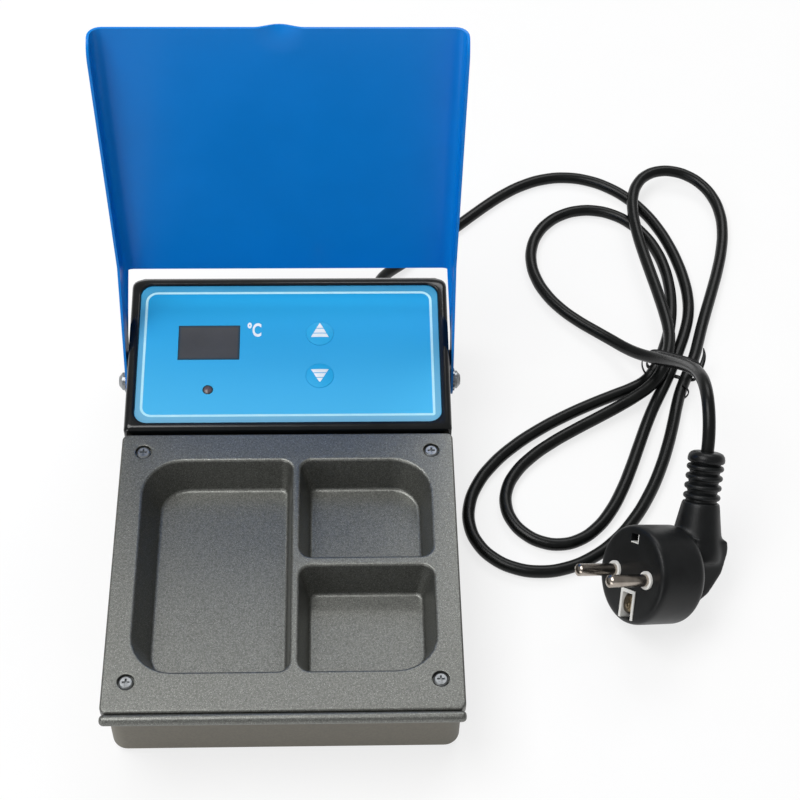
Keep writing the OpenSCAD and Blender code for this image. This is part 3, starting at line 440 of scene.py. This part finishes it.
def on_slope(lift):
    return lambda x, y: PANEL.z + (y - PANEL.y) * math.tan(SLOPE) + lift / math.cos(SLOPE)


def panel_y(s):
    return PANEL.y + s * math.cos(SLOPE)


def on_panel(x, s, lift=0.0):
    """Matrix that lays a flat form on the panel."""
    return Matrix.Translation(PANEL) @ Matrix.Rotation(SLOPE, 4, "X") @ Matrix.Translation((x, s, lift))


def frame_top(drop):
    """Top of the raised frame: the slope, and a rounding at the rear, all lower by the drop."""
    bend = HOUSE_REAR - BACK_R

    def height(x, y):
        over = max(y - bend, 0)
        return on_slope(1)(x, min(y, bend)) - BACK_R + math.sqrt(BACK_R ** 2 - over ** 2) - drop
    return height


bm = bmesh.new()
shell = [ring(bm, -HALF_W, HALF_W, HOUSE_FRONT, HOUSE_REAR, (FRONT_CORNER, FRONT_CORNER, REAR_R, REAR_R),
              HOUSE_Z)]
for a in quarter(10):
    inn = EDGE_R * (1 - math.cos(a))
    rear = REAR_R - inn / 2
    shell.append(ring(bm, -HALF_W + inn, HALF_W - inn, HOUSE_FRONT + inn * 0.8,
                      HOUSE_REAR - 6.8 * (1 - math.cos(a)), (FRONT_CORNER, FRONT_CORNER, rear, rear),
                      frame_top(EDGE_R * (1 - math.sin(a)))))
for out, height in [(PLAY + LIP_R * (1 - math.sin(a)), frame_top(LIP_R * (1 - math.cos(a))))
                    for a in quarter(4)] + [(PLAY, on_slope(RECESS))]:
    shell.append(ring(bm, -PANEL_HALF - out, PANEL_HALF + out, panel_y(0) - out, panel_y(PANEL_L) + out,
                      [PANEL_CORNER + out] * 4, height))
skin(bm, shell)
floor_z = on_slope(RECESS)
window = ring(bm, WINDOW_X - WINDOW_HALF_X, WINDOW_X + WINDOW_HALF_X, panel_y(WINDOW_S) - WINDOW_HALF_S,
              panel_y(WINDOW_S) + WINDOW_HALF_S, [0.1] * 4, floor_z)
holes = [window, circle(bm, LAMP_X, panel_y(LAMP_S), LAMP_HOLE_R, floor_z)]
holes += [circle(bm, KEY_X, panel_y(s), KEY_HOLE_R, floor_z) for s in (UP_KEY_S, DOWN_KEY_S)]
bmesh.ops.triangle_fill(bm, use_beauty=True, edges=[e for loop in holes + [shell[-1]] for e in loop])
lower = []
for loop in holes:
    made = bmesh.ops.extrude_edge_only(bm, edges=loop)["geom"]
    bmesh.ops.translate(bm, vec=down_in * HOLE_DEEP, verts=verts_of(made))
    ends = {g for g in made if isinstance(g, bmesh.types.BMEdge)}
    lower.append([e for e in ends if len(e.link_faces) == 1])
under = ring(bm, *INSIDE, on_slope(CEILING))
bmesh.ops.triangle_fill(bm, use_beauty=True, edges=[e for loop in lower + [under] for e in loop])
foot = ring(bm, *INSIDE, HOUSE_Z)
skin(bm, [under, foot, shell[0]])
# two ribs on the sides, which the arms of the open lid lean on
lid_place = Matrix.Translation(PIVOT) @ Matrix.Rotation(LID_OPEN, 4, "X")
for side in (-1, 1):
    rib = lid_place @ Matrix.Translation((side * RIB_AT[0], *RIB_AT[1:])) @ Matrix.Rotation(RIB_TURN, 4, "X")
    rib = rib @ Matrix.Translation((0, 0, 1.5)) @ Matrix.Diagonal((*RIB_SIZE, 1))
    bmesh.ops.create_cube(bm, size=1, matrix=rib)
piece("control_case", bm, abs_black, stands_for=["control_housing"])

# %% [markdown]
# ## Lid
# One blank of sheet steel with two folded sides that run on as arms to the pivots, painted gloss blue.
# A fine grid is mapped onto the folded section, so the fold, the rounded corners and the pressed finger
# dimple are one smooth skin. The arms are extruded from the ends of the flanges and of part of the fold,
# and Solidify gives the sheet its millimetre.

# %% Lid material
blue_paint = grained("gloss_blue_paint", "#007AD2", "#007ED8", 30, (0.30, 0.38), 0.02, 2.2, IOR=1.22,
                     Coat_Weight=0.16, Coat_Roughness=0.15)

# %% Lid
# rows of the grid, and its columns on each side: flat, fold and flange
ROWS, FLAT, FOLD, FLANGE = 90, 42, 6, 12
COLUMNS = FLAT + FOLD + FLANGE
FLAT_HALF, FOLD_R, FOLD_Z, FLANGE_H = 62.2, 4.5, 19, 5
LID_FRONT, LID_REAR, CORNER_Z, CORNER_R = -165.4, -43, 22, 8
TAPER, TAPER_FROM = 0.385, -53
DIMPLE_DEEP, DIMPLE_HALF, DIMPLE_L = 2.0, 9, 13
ARM_FROM, ARM_X, ARM_STEPS, FLARE = FLAT + 2, 66.7, 10, 1.6
EYE_R, EYE_HOLE_R, EYE_FROM = 6, 2.05, 65
bm = bmesh.new()
grid = bmesh.ops.create_grid(bm, x_segments=2 * COLUMNS, y_segments=ROWS, size=0.5)["verts"]
ends = {-1: [], 1: []}
for v in grid:
    column, row = round((v.co.x + 0.5) * 2 * COLUMNS) - COLUMNS, round((v.co.y + 0.5) * ROWS)
    side, k = (1 if column > 0 else -1), abs(column)
    fold = math.radians(90 / FOLD * min(max(k - FLAT, 0), FOLD))
    x = FLAT_HALF * min(k, FLAT) / FLAT + FOLD_R * math.sin(fold)
    hang = max(k - FLAT - FOLD, 0) / FLANGE
    z = FOLD_Z + FOLD_R * math.cos(fold) - FLANGE_H * hang
    start = LID_FRONT
    if z < CORNER_Z:
        start += CORNER_R - math.sqrt(max(CORNER_R ** 2 - (CORNER_Z - z) ** 2, 0))
    y = start + (LID_REAR - start) * row / ROWS
    z -= TAPER * max(y - TAPER_FROM, 0) * hang
    near_edge = max(1 - (y - LID_FRONT) / DIMPLE_L, 0) ** 3
    if k <= FLAT and abs(x) < DIMPLE_HALF:
        z += DIMPLE_DEEP * math.cos(math.pi * x / (2 * DIMPLE_HALF)) ** 2 * near_edge
    v.co = (side * x, y, z)
    if row == ROWS and k >= ARM_FROM:
        ends[side].append((k, v))
for side, rim in ends.items():
    rim = [v for _, v in sorted(rim, key=lambda item: item[0])]
    begins = [v.co.copy() for v in rim]
    turns = [math.radians(EYE_FROM + 15 * max(k - FLAT - FOLD, 0)) for k in range(ARM_FROM, COLUMNS + 1)]
    goals = [Vector((side * ARM_X, EYE_R * math.cos(turn), EYE_R * math.sin(turn))) for turn in turns]
    for step in range(1, ARM_STEPS + 1):
        edges = [e for a, b in zip(rim, rim[1:]) for e in a.link_edges if e.other_vert(a) is b]
        spots = {tuple(round(c, 4) for c in v.co): i for i, v in enumerate(rim)}
        made = bmesh.ops.extrude_edge_only(bm, edges=edges)["geom"]
        rim = sorted(verts_of(made), key=lambda v: spots[tuple(round(c, 4) for c in v.co)])
        for v, a, b in zip(rim, begins, goals):
            v.co = a.lerp(b, step / ARM_STEPS)
            v.co.x = a.x + (b.x - a.x) * min(FLARE * step / ARM_STEPS, 1)
    spoke = Vector((0, math.cos(turns[0]), math.sin(turns[0])))
    eye = [bm.verts.new(Vector((side * ARM_X, 0, 0)) + spoke * r) for r in (EYE_R, EYE_HOLE_R)]
    edge = bm.edges.new(eye)
    bmesh.ops.spin(bm, geom=eye + [edge], cent=(side * ARM_X, 0, 0), axis=(1, 0, 0), angle=math.tau, steps=24,
                   use_merge=True)
bmesh.ops.transform(bm, matrix=lid_place, verts=bm.verts)
lid = piece("steel_lid", bm, blue_paint, body="lid", stands_for=["lid"], weigh=False)
sheet = lid.modifiers.new("sheet", "SOLIDIFY")
sheet.thickness = 1 * MM
sheet.offset = 0
rim = lid.modifiers.new("paint_edge", "BEVEL")
rim.width = 0.3 * MM
rim.segments = 2
rim.limit_method = "ANGLE"
rim.angle_limit = math.radians(55)
lid.modifiers.new("flat_faces", "WEIGHTED_NORMAL").keep_sharp = True

# %% [markdown]
# ## Printed film
# The panel film is polycarbonate printed sky blue from behind. Its blue carries painted shade: darker at the
# rear, under the open lid, and paler towards the front. A thin pale line runs round it with a greyer margin
# outside, which has the same painted shade, and there are a degree sign and two striped arrows.

# %% Film materials
film = grained("printed_film_blue", "#029ADA", "#049EDE", 40, (0.46, 0.54), 0.006, 0.6, IOR=1.25)
ink = grained("white_ink", "#E9EEF2", "#F4F8FA", 6, (0.38, 0.46), 0.004, 0.8)
line_ink = grained("pale_blue_ink", "#ACE6F8", "#BCEEFB", 6, (0.38, 0.46), 0.004, 0.8)
margin_ink = grained("grey_blue_ink", "#3A9BCB", "#44A2D0", 20, (0.46, 0.54), 0.006, 0.6, IOR=1.25)
# painted shade: the film and its margin are drawn darker at the rear, under the open lid, and paler towards
# the front
SHADE_REAR_Y, SHADE_FRONT_Y = 0.093, 0.030
for print_blue, front_blue in ((film, "#4CBBEF"), (margin_ink, "#72B6D8")):
    tree, place = tree_and_place(print_blue)
    split = add(tree, "ShaderNodeSeparateXYZ", links={"Vector": place})
    painted_shade = add(tree, "ShaderNodeMapRange", {"From Min": SHADE_REAR_Y, "From Max": SHADE_FRONT_Y},
               {"Value": split.outputs["Y"]})
    mix_in(print_blue, front_blue, painted_shade.outputs["Result"])

# %% Printed line
PRINT, LINE_W = 0.05, 1.0
LINE_X, LINE_S, LINE_R = (-59.0, 58.6), (2.8, 62.0), (4.6, 1.0, 4.8, 4.4)


def line_inset(inn):
    """Outline of the printed line, moved in by so many mm: x from and to, y from and to, corner radii."""
    return (LINE_X[0] + inn, LINE_X[1] - inn, panel_y(LINE_S[0]) + inn, panel_y(LINE_S[1]) - inn,
            [r - inn for r in LINE_R])


def band(name, outer, inner, lift, colour):
    """A thin printed band on the film between two outlines."""
    bm = bmesh.new()
    edges = ring(bm, *outer, on_slope(0)) + ring(bm, *inner, on_slope(0))
    bmesh.ops.triangle_fill(bm, use_beauty=True, edges=edges)
    made = bmesh.ops.extrude_face_region(bm, geom=list(bm.faces))["geom"]
    bmesh.ops.translate(bm, vec=(0, 0, lift), verts=verts_of(made))
    piece(name, bm, colour, weigh=False)


band("printed_line", line_inset(0), line_inset(LINE_W), PRINT, line_ink)
film_edge = (-60.9, 60.9, panel_y(0.1), panel_y(64.9), [4.9] * 4)
band("printed_margin", film_edge, line_inset(0), PRINT / 2, margin_ink)

# %% [markdown]
# ## Degree sign and arrows
# The degree sign is text made into a mesh. Each arrow is a triangle cut into bands: thin strips that
# narrow towards the tip, laid on the low dome of its key so that they move with it.

# %% Degree sign
SIGN_X, SIGN_S, SIGN_SIZE, SIGN_BOLD, SIGN_NARROW = -17.2, 40.5, 8.6, 0.26, 0.62
words = bpy.data.curves.new("degree_sign", "FONT")
words.body = "°C"
words.size = SIGN_SIZE
words.offset = SIGN_BOLD
words.extrude = PRINT / 2
words.resolution_u = 4
text = bpy.data.objects.new("degree_sign", words)
scene.collection.objects.link(text)
bm = bmesh.new()
bm.from_mesh(text.to_mesh())
bpy.data.objects.remove(text)
narrow = Matrix.Diagonal((SIGN_NARROW, 1, 1, 1))
bmesh.ops.transform(bm, matrix=on_panel(SIGN_X, SIGN_S, PRINT / 2) @ narrow, verts=bm.verts)
piece("printed_degree", bm, ink, weigh=False)


# %% Arrows
DOME_R, DOME_H = 40, 0.5


def arrow(name, key_s, bands, body):
    """Bands are (lower height, upper height, half width below, half width above) on the key, in mm."""
    bm = bmesh.new()
    for low_s, high_s, low_w, high_w in bands:
        corners = ((-low_w, low_s), (low_w, low_s), (high_w, high_s), (-high_w, high_s))
        bm.faces.new([bm.verts.new((x, s, 0)) for x, s in corners])
    bmesh.ops.subdivide_edges(bm, edges=bm.edges, cuts=5, use_grid_fill=True)
    for v in bm.verts:
        v.co.z = DOME_H - DOME_R + math.sqrt(DOME_R ** 2 - v.co.x ** 2 - v.co.y ** 2)
    made = bmesh.ops.extrude_face_region(bm, geom=list(bm.faces))["geom"]
    bmesh.ops.translate(bm, vec=(0, 0, PRINT), verts=verts_of(made))
    bmesh.ops.transform(bm, matrix=on_panel(KEY_X, key_s), verts=bm.verts)
    piece(name, bm, ink, body=body, weigh=False)


UP_BANDS = [(-1.8, -0.2, 3.6, 2.8), (0.15, 2.15, 2.6, 1.57), (2.5, 5.0, 1.4, 0.1)]
DOWN_BANDS = [(1.3, 2.9, 2.7, 3.6), (-0.9, 0.95, 1.5, 2.5), (-3.0, -1.25, 0.2, 1.3)]
arrow("up_arrow", UP_KEY_S, UP_BANDS, "up_key")
arrow("down_arrow", DOWN_KEY_S, DOWN_BANDS, "down_key")

# %% [markdown]
# ## Plug
# A moulded right-angle plug: a round barrel, a grip behind it and a ribbed sleeve for the cord. The solids
# are joined by a voxel Remesh and smoothed, which rounds every inner corner as a mould does.

# %% Plug material
pvc_plug = grained("moulded_pvc_black", "#0D0E0F", "#141617", 7, (0.34, 0.44), 0.03, 0.7, IOR=1.35)


# %% Plug body
def spun(bm, profile, place, steps=64):
    """A profile of radius and height, spun about the z axis and then put in its place."""
    before = set(bm.verts)
    verts = [bm.verts.new((r, 0, z)) for r, z in profile]
    edges = [bm.edges.new(pair) for pair in zip(verts, verts[1:])]
    bmesh.ops.spin(bm, geom=verts + edges, cent=(0, 0, 0), axis=(0, 0, 1), angle=math.tau, steps=steps,
                   use_merge=True)
    bmesh.ops.transform(bm, matrix=place, verts=[v for v in bm.verts if v not in before])


GRIP_HALF, PIN_X, VOXEL = 9, 9.5, 0.45
along_cord = Matrix.Translation((0, 0, RELIEF_Z)) @ Matrix.Rotation(math.radians(-90), 4, "X")
bm = bmesh.new()
spun(bm, [(0, 0), (17.6, 0), (18.8, -0.5), (19.25, -1.7), (19.25, -20), (17, -22.6), (12, -23), (0, -23)],
     Matrix.Identity(4))
outline = [(-14, -19), (-11, -26), (-6, -33), (2, -38.5), (11, -40.5), (15, -39.5), (15, -19)]
flank = bm.faces.new([bm.verts.new((-GRIP_HALF, y, z)) for y, z in outline])
made = bmesh.ops.extrude_face_region(bm, geom=[flank])["geom"]
bmesh.ops.translate(bm, vec=(2 * GRIP_HALF, 0, 0), verts=verts_of(made))
spun(bm, [(0, 6), (10.75, 6), (10.75, 10), (9.2, 18), (7.3, 29), (0, 29)], along_cord, 48)
bmesh.ops.remove_doubles(bm, verts=bm.verts, dist=0.003)
bmesh.ops.recalc_face_normals(bm, faces=bm.faces)
block_mesh = bpy.data.meshes.new("plug_block")
bm.to_mesh(block_mesh)
bm.free()
block = bpy.data.objects.new("plug_block", block_mesh)
scene.collection.objects.link(block)
mould = block.modifiers.new("mould", "REMESH")
mould.mode = "VOXEL"
mould.voxel_size = VOXEL
rounding = block.modifiers.new("rounding", "SMOOTH")
rounding.factor = 0.5
rounding.iterations = 40

# %% [markdown]
# ## Pockets of the plug
# The earth slot, the small notch and the seats of the two collars are cut with one Boolean after the
# rounding, so their edges stay crisp. The cutter and the block are only tools: the result is one mesh.

# %% Plug pockets
bm = bmesh.new()
for x0, x1, y0, y1, deep in ((-4.2, 4.2, -17.2, -5.6, 16), (-2.2, 2.2, 12.4, 16, 5)):
    at = Matrix.Translation(((x0 + x1) / 2, (y0 + y1) / 2, 2 - deep / 2))
    bmesh.ops.create_cube(bm, size=1, matrix=at @ Matrix.Diagonal((x1 - x0, y1 - y0, deep + 4, 1)))
for x in (-PIN_X, PIN_X):
    bmesh.ops.create_cone(bm, cap_ends=True, segments=48, radius1=COLLAR_R, radius2=COLLAR_R, depth=14,
                          matrix=Matrix.Translation((x, 0, -2)))
cutter_mesh = bpy.data.meshes.new("plug_cutter")
bm.to_mesh(cutter_mesh)
bm.free()
cutter = bpy.data.objects.new("plug_cutter", cutter_mesh)
scene.collection.objects.link(cutter)
pockets = block.modifiers.new("pockets", "BOOLEAN")
pockets.operation = "DIFFERENCE"
pockets.object = cutter
cut = block.evaluated_get(bpy.context.evaluated_depsgraph_get())
bm = bmesh.new()
bm.from_mesh(cut.to_mesh())
bpy.data.objects.remove(block)
bpy.data.objects.remove(cutter)
bmesh.ops.transform(bm, matrix=plug_place, verts=bm.verts)
plug = piece("plug_shell", bm, pvc_plug, stands_for=["plug_body"], weigh=False,
             crease=40)

# %% Ribbed sleeve
RIBS, RIB_PITCH, CORE_R, SLEEVE_FROM = 4, 3.8, 5.8, 27.5
bm = bmesh.new()
ribs = [(0, SLEEVE_FROM), (CORE_R, SLEEVE_FROM)]
for i in range(RIBS):
    for k in range(9):
        a = math.radians(22.5 * k - 90)
        ribs.append((6.2 + 1.1 * math.cos(a), 30.9 + RIB_PITCH * i + 1.15 * math.sin(a)))
    ribs.append((CORE_R, 32.5 + RIB_PITCH * i))
ribs += [(CORE_R, 44.1), (6.8, 44.3), (7.3, 44.9), (7.3, 46.0), (7.0, 47.1), (6.3, 48.0), (5.2, 48.5),
         (2.7, 48.5), (2.7, 44), (0, 44)]
spun(bm, ribs, plug_place @ along_cord, 48)
sleeve = piece("plug_sleeve", bm, pvc_plug, weigh=False, crease=50)

# %% [markdown]
# ## Earth contact
# Behind the face, between the white walls of the slot, lies a sprung strip of brass: it comes up from
# the floor, bows out under the face with a round dimple, and goes down again. A white lip lines two sides
# of the small notch opposite.

# %% Earth contact
dull_brass = grained("tarnished_brass", "#6A5E4C", "#83765F", 2, (0.24, 0.36), 0.01, 0.5, Metallic=1.0)
insert_white = grained("moulded_nylon_white", "#DEDDD8", "#EAE9E5", 4, (0.36, 0.46), 0.01, 0.7)
bm = bmesh.new()
CONTACT_HALF = 2.6
bow = [(-7.6, -14.1), (-7.6, -5), (-8.2, -2.2), (-9.6, -1.0), (-12, -0.7), (-14.4, -1.4), (-15.7, -3.6),
       (-15.8, -7), (-15.4, -12)]
bow = halved([(-CONTACT_HALF, y, z) for y, z in bow])
verts = [bm.verts.new(v) for v in bow]
edges = [bm.edges.new(pair) for pair in zip(verts, verts[1:])]
made = bmesh.ops.extrude_edge_only(bm, edges=edges)["geom"]
bmesh.ops.translate(bm, vec=(2 * CONTACT_HALF, 0, 0), verts=verts_of(made))
spun(bm, [(1.3, 0), (0.9, 0.3), (0, 0.4)], Matrix.Translation((0, -12, -0.55)), 24)
bmesh.ops.transform(bm, matrix=plug_place, verts=bm.verts)
contact = piece("earth_contact", bm, dull_brass, stands_for=["plug_earth"], weigh=False)
spring = contact.modifiers.new("spring", "SOLIDIFY")
spring.thickness = 0.5 * MM
spring.offset = 0
bm = bmesh.new()
for x0, x1, y0, y1 in ((1.7, 2.15, 12.45, 15.95), (-2.15, 1.7, 12.45, 12.9)):
    at = Matrix.Translation(((x0 + x1) / 2, (y0 + y1) / 2, -1.6)) @ Matrix.Diagonal((x1 - x0, y1 - y0, 3, 1))
    bmesh.ops.create_cube(bm, size=1, matrix=plug_place @ at)
lip = piece("notch_lip", bm, insert_white)

# %% [markdown]
# ## Twist tie
# A thin plastic strip with a wire in it goes once round the waist of the hank, slightly askew. It stands
# off in a bow on the left, one flat end sticks up on the right, and a thin end curls in front. A strip is a
# short edge extruded from point to point, with a Solidify for its thickness.

# %% Twist tie
tie_pvc = grained("twist_tie_pvc", "#0B0C0D", "#131416", 3, (0.35, 0.45), 0.02, 0.5, IOR=1.45)
# the wrap is a squarish oval round the waist: its middle, its half width and height, and its squareness
TIE_STEPS, TIE_SIDE, TIE_UP, TIE_HALF_W, TIE_HALF_H, TIE_SQUARE = 48, 0.4, 6.9, 11.2, 6.5, 0.45


def strip(bm, points, width, across=WAIST_WAY, tip=1.0):
    """A strip along points of side, height and way at the waist; `tip` is its end's share of the width."""
    edge = None
    for i, (side, up, way) in enumerate(points):
        spot = WAIST + WAIST_SIDE * side + WAIST_WAY * way + Vector((0, 0, up))
        half = across * width / 2 * (1 + (tip - 1) * (i / (len(points) - 1)) ** 2)
        if edge is None:
            edge = bm.edges.new([bm.verts.new(spot - half), bm.verts.new(spot + half)])
            tips = list(edge.verts)
            continue
        made = bmesh.ops.extrude_edge_only(bm, edges=[edge])["geom"]
        edge = next(g for g in made if isinstance(g, bmesh.types.BMEdge) and len(g.link_faces) == 1
                    and not any(v in tips for v in g.verts))
        tips = sorted(edge.verts, key=lambda v: (v.co - tips[0].co).length)
        tips[0].co, tips[1].co = spot - half, spot + half


bm = bmesh.new()
wrap = []
for i in range(TIE_STEPS + 1):
    a = math.tau * i / TIE_STEPS + 0.1
    c, z = math.cos(a), math.sin(a)
    side = TIE_SIDE + TIE_HALF_W * math.copysign(abs(c) ** TIE_SQUARE, c)
    up = TIE_UP + TIE_HALF_H * math.copysign(abs(z) ** TIE_SQUARE, z)
    wrap.append((side, up, 0.5 - i / TIE_STEPS))
strip(bm, wrap, 1.7)
UP = Vector((0, 0, 1))
bulge = [(-10.4, 9.6, -0.3), (-12.2, 9, -1.1), (-12.6, 8, -3), (-11.8, 7, -5.4), (-10.1, 5.5, -6.8),
         (-8.3, 4.5, -7.1)]
strip(bm, halved(halved(bulge)), 1.0, UP)
leaf = [(12.1, 8, 0.4), (12.4, 10, 3.8), (12.1, 11, 7), (11, 12, 9.6)]
strip(bm, halved(halved(leaf)), 2.2, WAIST_SIDE, 0.15)
curl = [(6.8, 7, -9), (9.2, 6, -9.9), (10.2, 5, -11.1), (9.5, 4, -12.8), (7.9, 3, -14)]
strip(bm, halved(halved(curl)), 0.9, UP)
tie = piece("twist_tie", bm, tie_pvc, stands_for=["cord_tie"], weigh=False)
thick = tie.modifiers.new("strip", "SOLIDIFY")
thick.thickness = 0.5 * MM
thick.offset = 0

# %% [markdown]
# ## Materials of the CAD nodes
# The other pieces keep their CAD shape and get the finish of the real thing: zinc-plated screws, nickel
# pins, a case with a fine texture, rubber feet, and the parts inside. The window and the lamp get a dark
# rim, because their edges lie in the shade of the panel.

# %% CAD node materials
case_paint = grained("textured_case_paint", "#625E54", "#716D62", 0.9, (0.48, 0.60), 0.05, 0.45)
zinc = grained("zinc_plated_steel", "#878A8C", "#A6A9AB", 1.6, (0.30, 0.42), 0.01, 0.5, Metallic=1.0)
nickel = grained("nickel_plated_brass", "#9A9188", "#B3AAA0", 3, (0.16, 0.26), 0.008, 0.6, Metallic=1.0)
rubber = grained("black_rubber", "#17181A", "#222426", 1.5, (0.66, 0.78), 0.04, 0.4)
smoked = grained("smoked_acrylic", "#403F3E", "#454443", 8, (0.30, 0.32), 0.002, 0.9, IOR=1.49)
CLEAR_HALF_X, CLEAR_HALF_Y = 11.7, 7.3
tree, place = tree_and_place(smoked)
split = add(tree, "ShaderNodeSeparateXYZ", links={"Vector": place})
gaps = []
for axis, middle, half in (("X", WINDOW_X, CLEAR_HALF_X), ("Y", panel_y(WINDOW_S), CLEAR_HALF_Y)):
    off = add(tree, "ShaderNodeMath", {"operation": "SUBTRACT", 1: middle * MM}, {0: split.outputs[axis]})
    size = add(tree, "ShaderNodeMath", {"operation": "ABSOLUTE"}, {0: off.outputs[0]})
    gaps.append(add(tree, "ShaderNodeMath", {"operation": "SUBTRACT", 1: half * MM}, {0: size.outputs[0]}))
near_rim = add(tree, "ShaderNodeMath", {"operation": "MAXIMUM"},
               {0: gaps[0].outputs[0], 1: gaps[1].outputs[0]})
rim_dark = add(tree, "ShaderNodeMapRange", {"From Min": -0.0003, "From Max": 0.0004, "To Max": 0.9},
               {"Value": near_rim.outputs[0]})
mix_in(smoked, "#0E3443", rim_dark.outputs["Result"])
lamp_lens = grained("lamp_lens_brown", "#5A4C50", "#6A5A5E", 2, (0.20, 0.28), 0.004, 0.5, IOR=1.49)
tree, place = tree_and_place(lamp_lens)
lamp_at = on_panel(LAMP_X, LAMP_S).translation * MM
reach = add(tree, "ShaderNodeVectorMath", {"operation": "DISTANCE", 1: lamp_at}, {0: place})
rim_dark = add(tree, "ShaderNodeMapRange", {"From Min": 0.0012, "From Max": 0.0020},
               {"Value": reach.outputs["Value"]})
mix_in(lamp_lens, "#1E3A44", rim_dark.outputs["Result"])
# the keys' blue is the film's blue with its painted shade at the place of the keys
key_film = grained("key_film_blue", "#22ABE4", "#28AEE7", 20, (0.44, 0.52), 0.006, 0.6, IOR=1.35)
board = grained("glass_fibre_board", "#1E5A34", "#2A6B40", 2.5, (0.4, 0.5), 0.02, 0.5)
mica = grained("mica_plate", "#9A8F78", "#B3A78D", 3, (0.45, 0.6), 0.02, 0.6)
aluminium = grained("rolled_aluminium", "#9EA0A2", "#B4B6B8", 2.4, (0.32, 0.44), 0.01, 0.5, Metallic=1.0)
felt = grained("glass_wool_felt", "#C9C3B4", "#DDD8CB", 1.8, (0.85, 0.95), 0.2, 0.7)
ceramic = grained("white_ceramic", "#CFCBC2", "#DEDAD2", 5, (0.3, 0.4), 0.01, 0.9)
dark_part = grained("dark_epoxy", "#202226", "#2B2D32", 3, (0.4, 0.5), 0.01, 0.6)
relay_blue = grained("relay_case_blue", "#1F4F94", "#285AA2", 5, (0.35, 0.45), 0.01, 0.7)
tape_yellow = grained("transformer_tape", "#B39B39", "#C6AE4C", 3, (0.35, 0.5), 0.02, 0.6)
finishes = {"base_case": case_paint, "bottom_plate": aluminium, "bottom_screws": zinc, "rubber_feet": rubber,
            "tray_screws": zinc, "heater_plate": mica, "clamp_plate": aluminium, "clamp_screws": zinc,
            "insulation_pad": felt, "temperature_sensor": aluminium, "thermal_fuse": ceramic,
            "panel_overlay": film, "up_key": key_film, "down_key": key_film, "key_switches": dark_part,
            "display_window": smoked, "display_module": dark_part, "indicator_lamp": lamp_lens,
            "circuit_board": board, "board_screws": zinc, "power_relay": relay_blue,
            "power_supply": tape_yellow, "terminal_block": ceramic, "cord_gland": pvc_plug,
            "pivot_screws": zinc, "star_washers": zinc, "pivot_spacers": insert_white, "pivot_nuts": zinc,
            "plug_pins": nickel, "plug_insert": insert_white}
for name, finish in finishes.items():
    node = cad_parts[name]
    node.data.materials.clear()
    node.data.materials.append(finish)
print("finished", len(finishes), "CAD nodes")

# %% [markdown]
# ## Key grooves
# Round each key the film dips into a fine groove. A thin ring of film fills the gap between key and panel
# a little below the surface.

# %% Key grooves
bm = bmesh.new()
groove = [(5.55, -0.40), (5.55, -0.08), (5.78, -0.08), (5.78, -0.40), (5.55, -0.40)]
for key_s in (UP_KEY_S, DOWN_KEY_S):
    spun(bm, groove, on_panel(KEY_X, key_s), 40)
piece("key_grooves", bm, key_film, weigh=False)

# %% [markdown]
# ## Studio
# A white paper floor, one soft panel above on the left, one high at the back, whose light the tray and the
# cord reflect, and a weak one in front. The room is dim, so that black plastic stays black. The camera sees
# part of the floor as plain white, which keeps the shadow of the pot but thins it.

# %% Floor
bm = bmesh.new()
bmesh.ops.create_grid(bm, x_segments=1, y_segments=1, size=3)
mesh = bpy.data.meshes.new("studio_floor")
bm.to_mesh(mesh)
bm.free()
floor = bpy.data.objects.new("studio_floor", mesh)
scene.collection.objects.link(floor)
paper = bpy.data.materials.new("white_paper")
paper.use_nodes = True
tree = paper.node_tree
shader = tree.nodes["Principled BSDF"]
place = add(tree, "ShaderNodeTexCoord")
speck = add(tree, "ShaderNodeTexNoise", {"Scale": 40.0}, {"Vector": place.outputs["Object"]})
tree.links.new(ramp(tree, speck.outputs["Fac"], "#F6F6F6", "#FBFBFB"), shader.inputs["Base Color"])
shader.inputs["Roughness"].default_value = 0.9
shader.inputs["Specular IOR Level"].default_value = 0.1
glow = add(tree, "ShaderNodeEmission", {"Color": (1, 1, 1, 1), "Strength": 1.0})
rays = add(tree, "ShaderNodeLightPath")
seen = add(tree, "ShaderNodeMath", {"operation": "MAXIMUM"},
           {0: rays.outputs["Is Camera Ray"], 1: rays.outputs["Is Glossy Ray"]})
seen = add(tree, "ShaderNodeMath", {"operation": "MAXIMUM"},
           {0: seen.outputs["Value"], 1: rays.outputs["Is Transmission Ray"]})
part = add(tree, "ShaderNodeMapRange", {"To Min": 0.0, "To Max": 0.75}, {"Value": seen.outputs["Value"]})
blend = add(tree, "ShaderNodeMixShader", links={0: part.outputs["Result"], 1: shader.outputs["BSDF"],
                                                2: glow.outputs["Emission"]})
tree.links.new(blend.outputs["Shader"], tree.nodes["Material Output"].inputs["Surface"])
mesh.materials.append(paper)

# %% Lights
world = bpy.data.worlds.new("studio_world")
world.use_nodes = True
scene.world = world
sky = world.node_tree.nodes["Background"]
sky.inputs["Color"].default_value = (1, 1, 1, 1)
sky.inputs["Strength"].default_value = 0.32


def lamp(name, spot, aim, size, watts):
    data = bpy.data.lights.new(name, "AREA")
    data.shape = "RECTANGLE"
    data.size, data.size_y = size
    data.energy = watts
    made = bpy.data.objects.new(name, data)
    made.location = spot
    made.rotation_euler = (Vector(aim) - Vector(spot)).to_track_quat("-Z", "Y").to_euler()
    scene.collection.objects.link(made)


lamp("top_panel", (-0.45, -0.05, 1.25), (0.03, 0.0, 0.0), (0.9, 0.7), 11.5)
lamp("back_panel", (0.4, 1.2, 1.35), (0.05, 0.0, 0.0), (1.0, 0.7), 9)
lamp("front_panel", (-0.8, -1.1, 0.45), (0.0, 0.08, 0.1), (0.7, 0.5), 3.5)
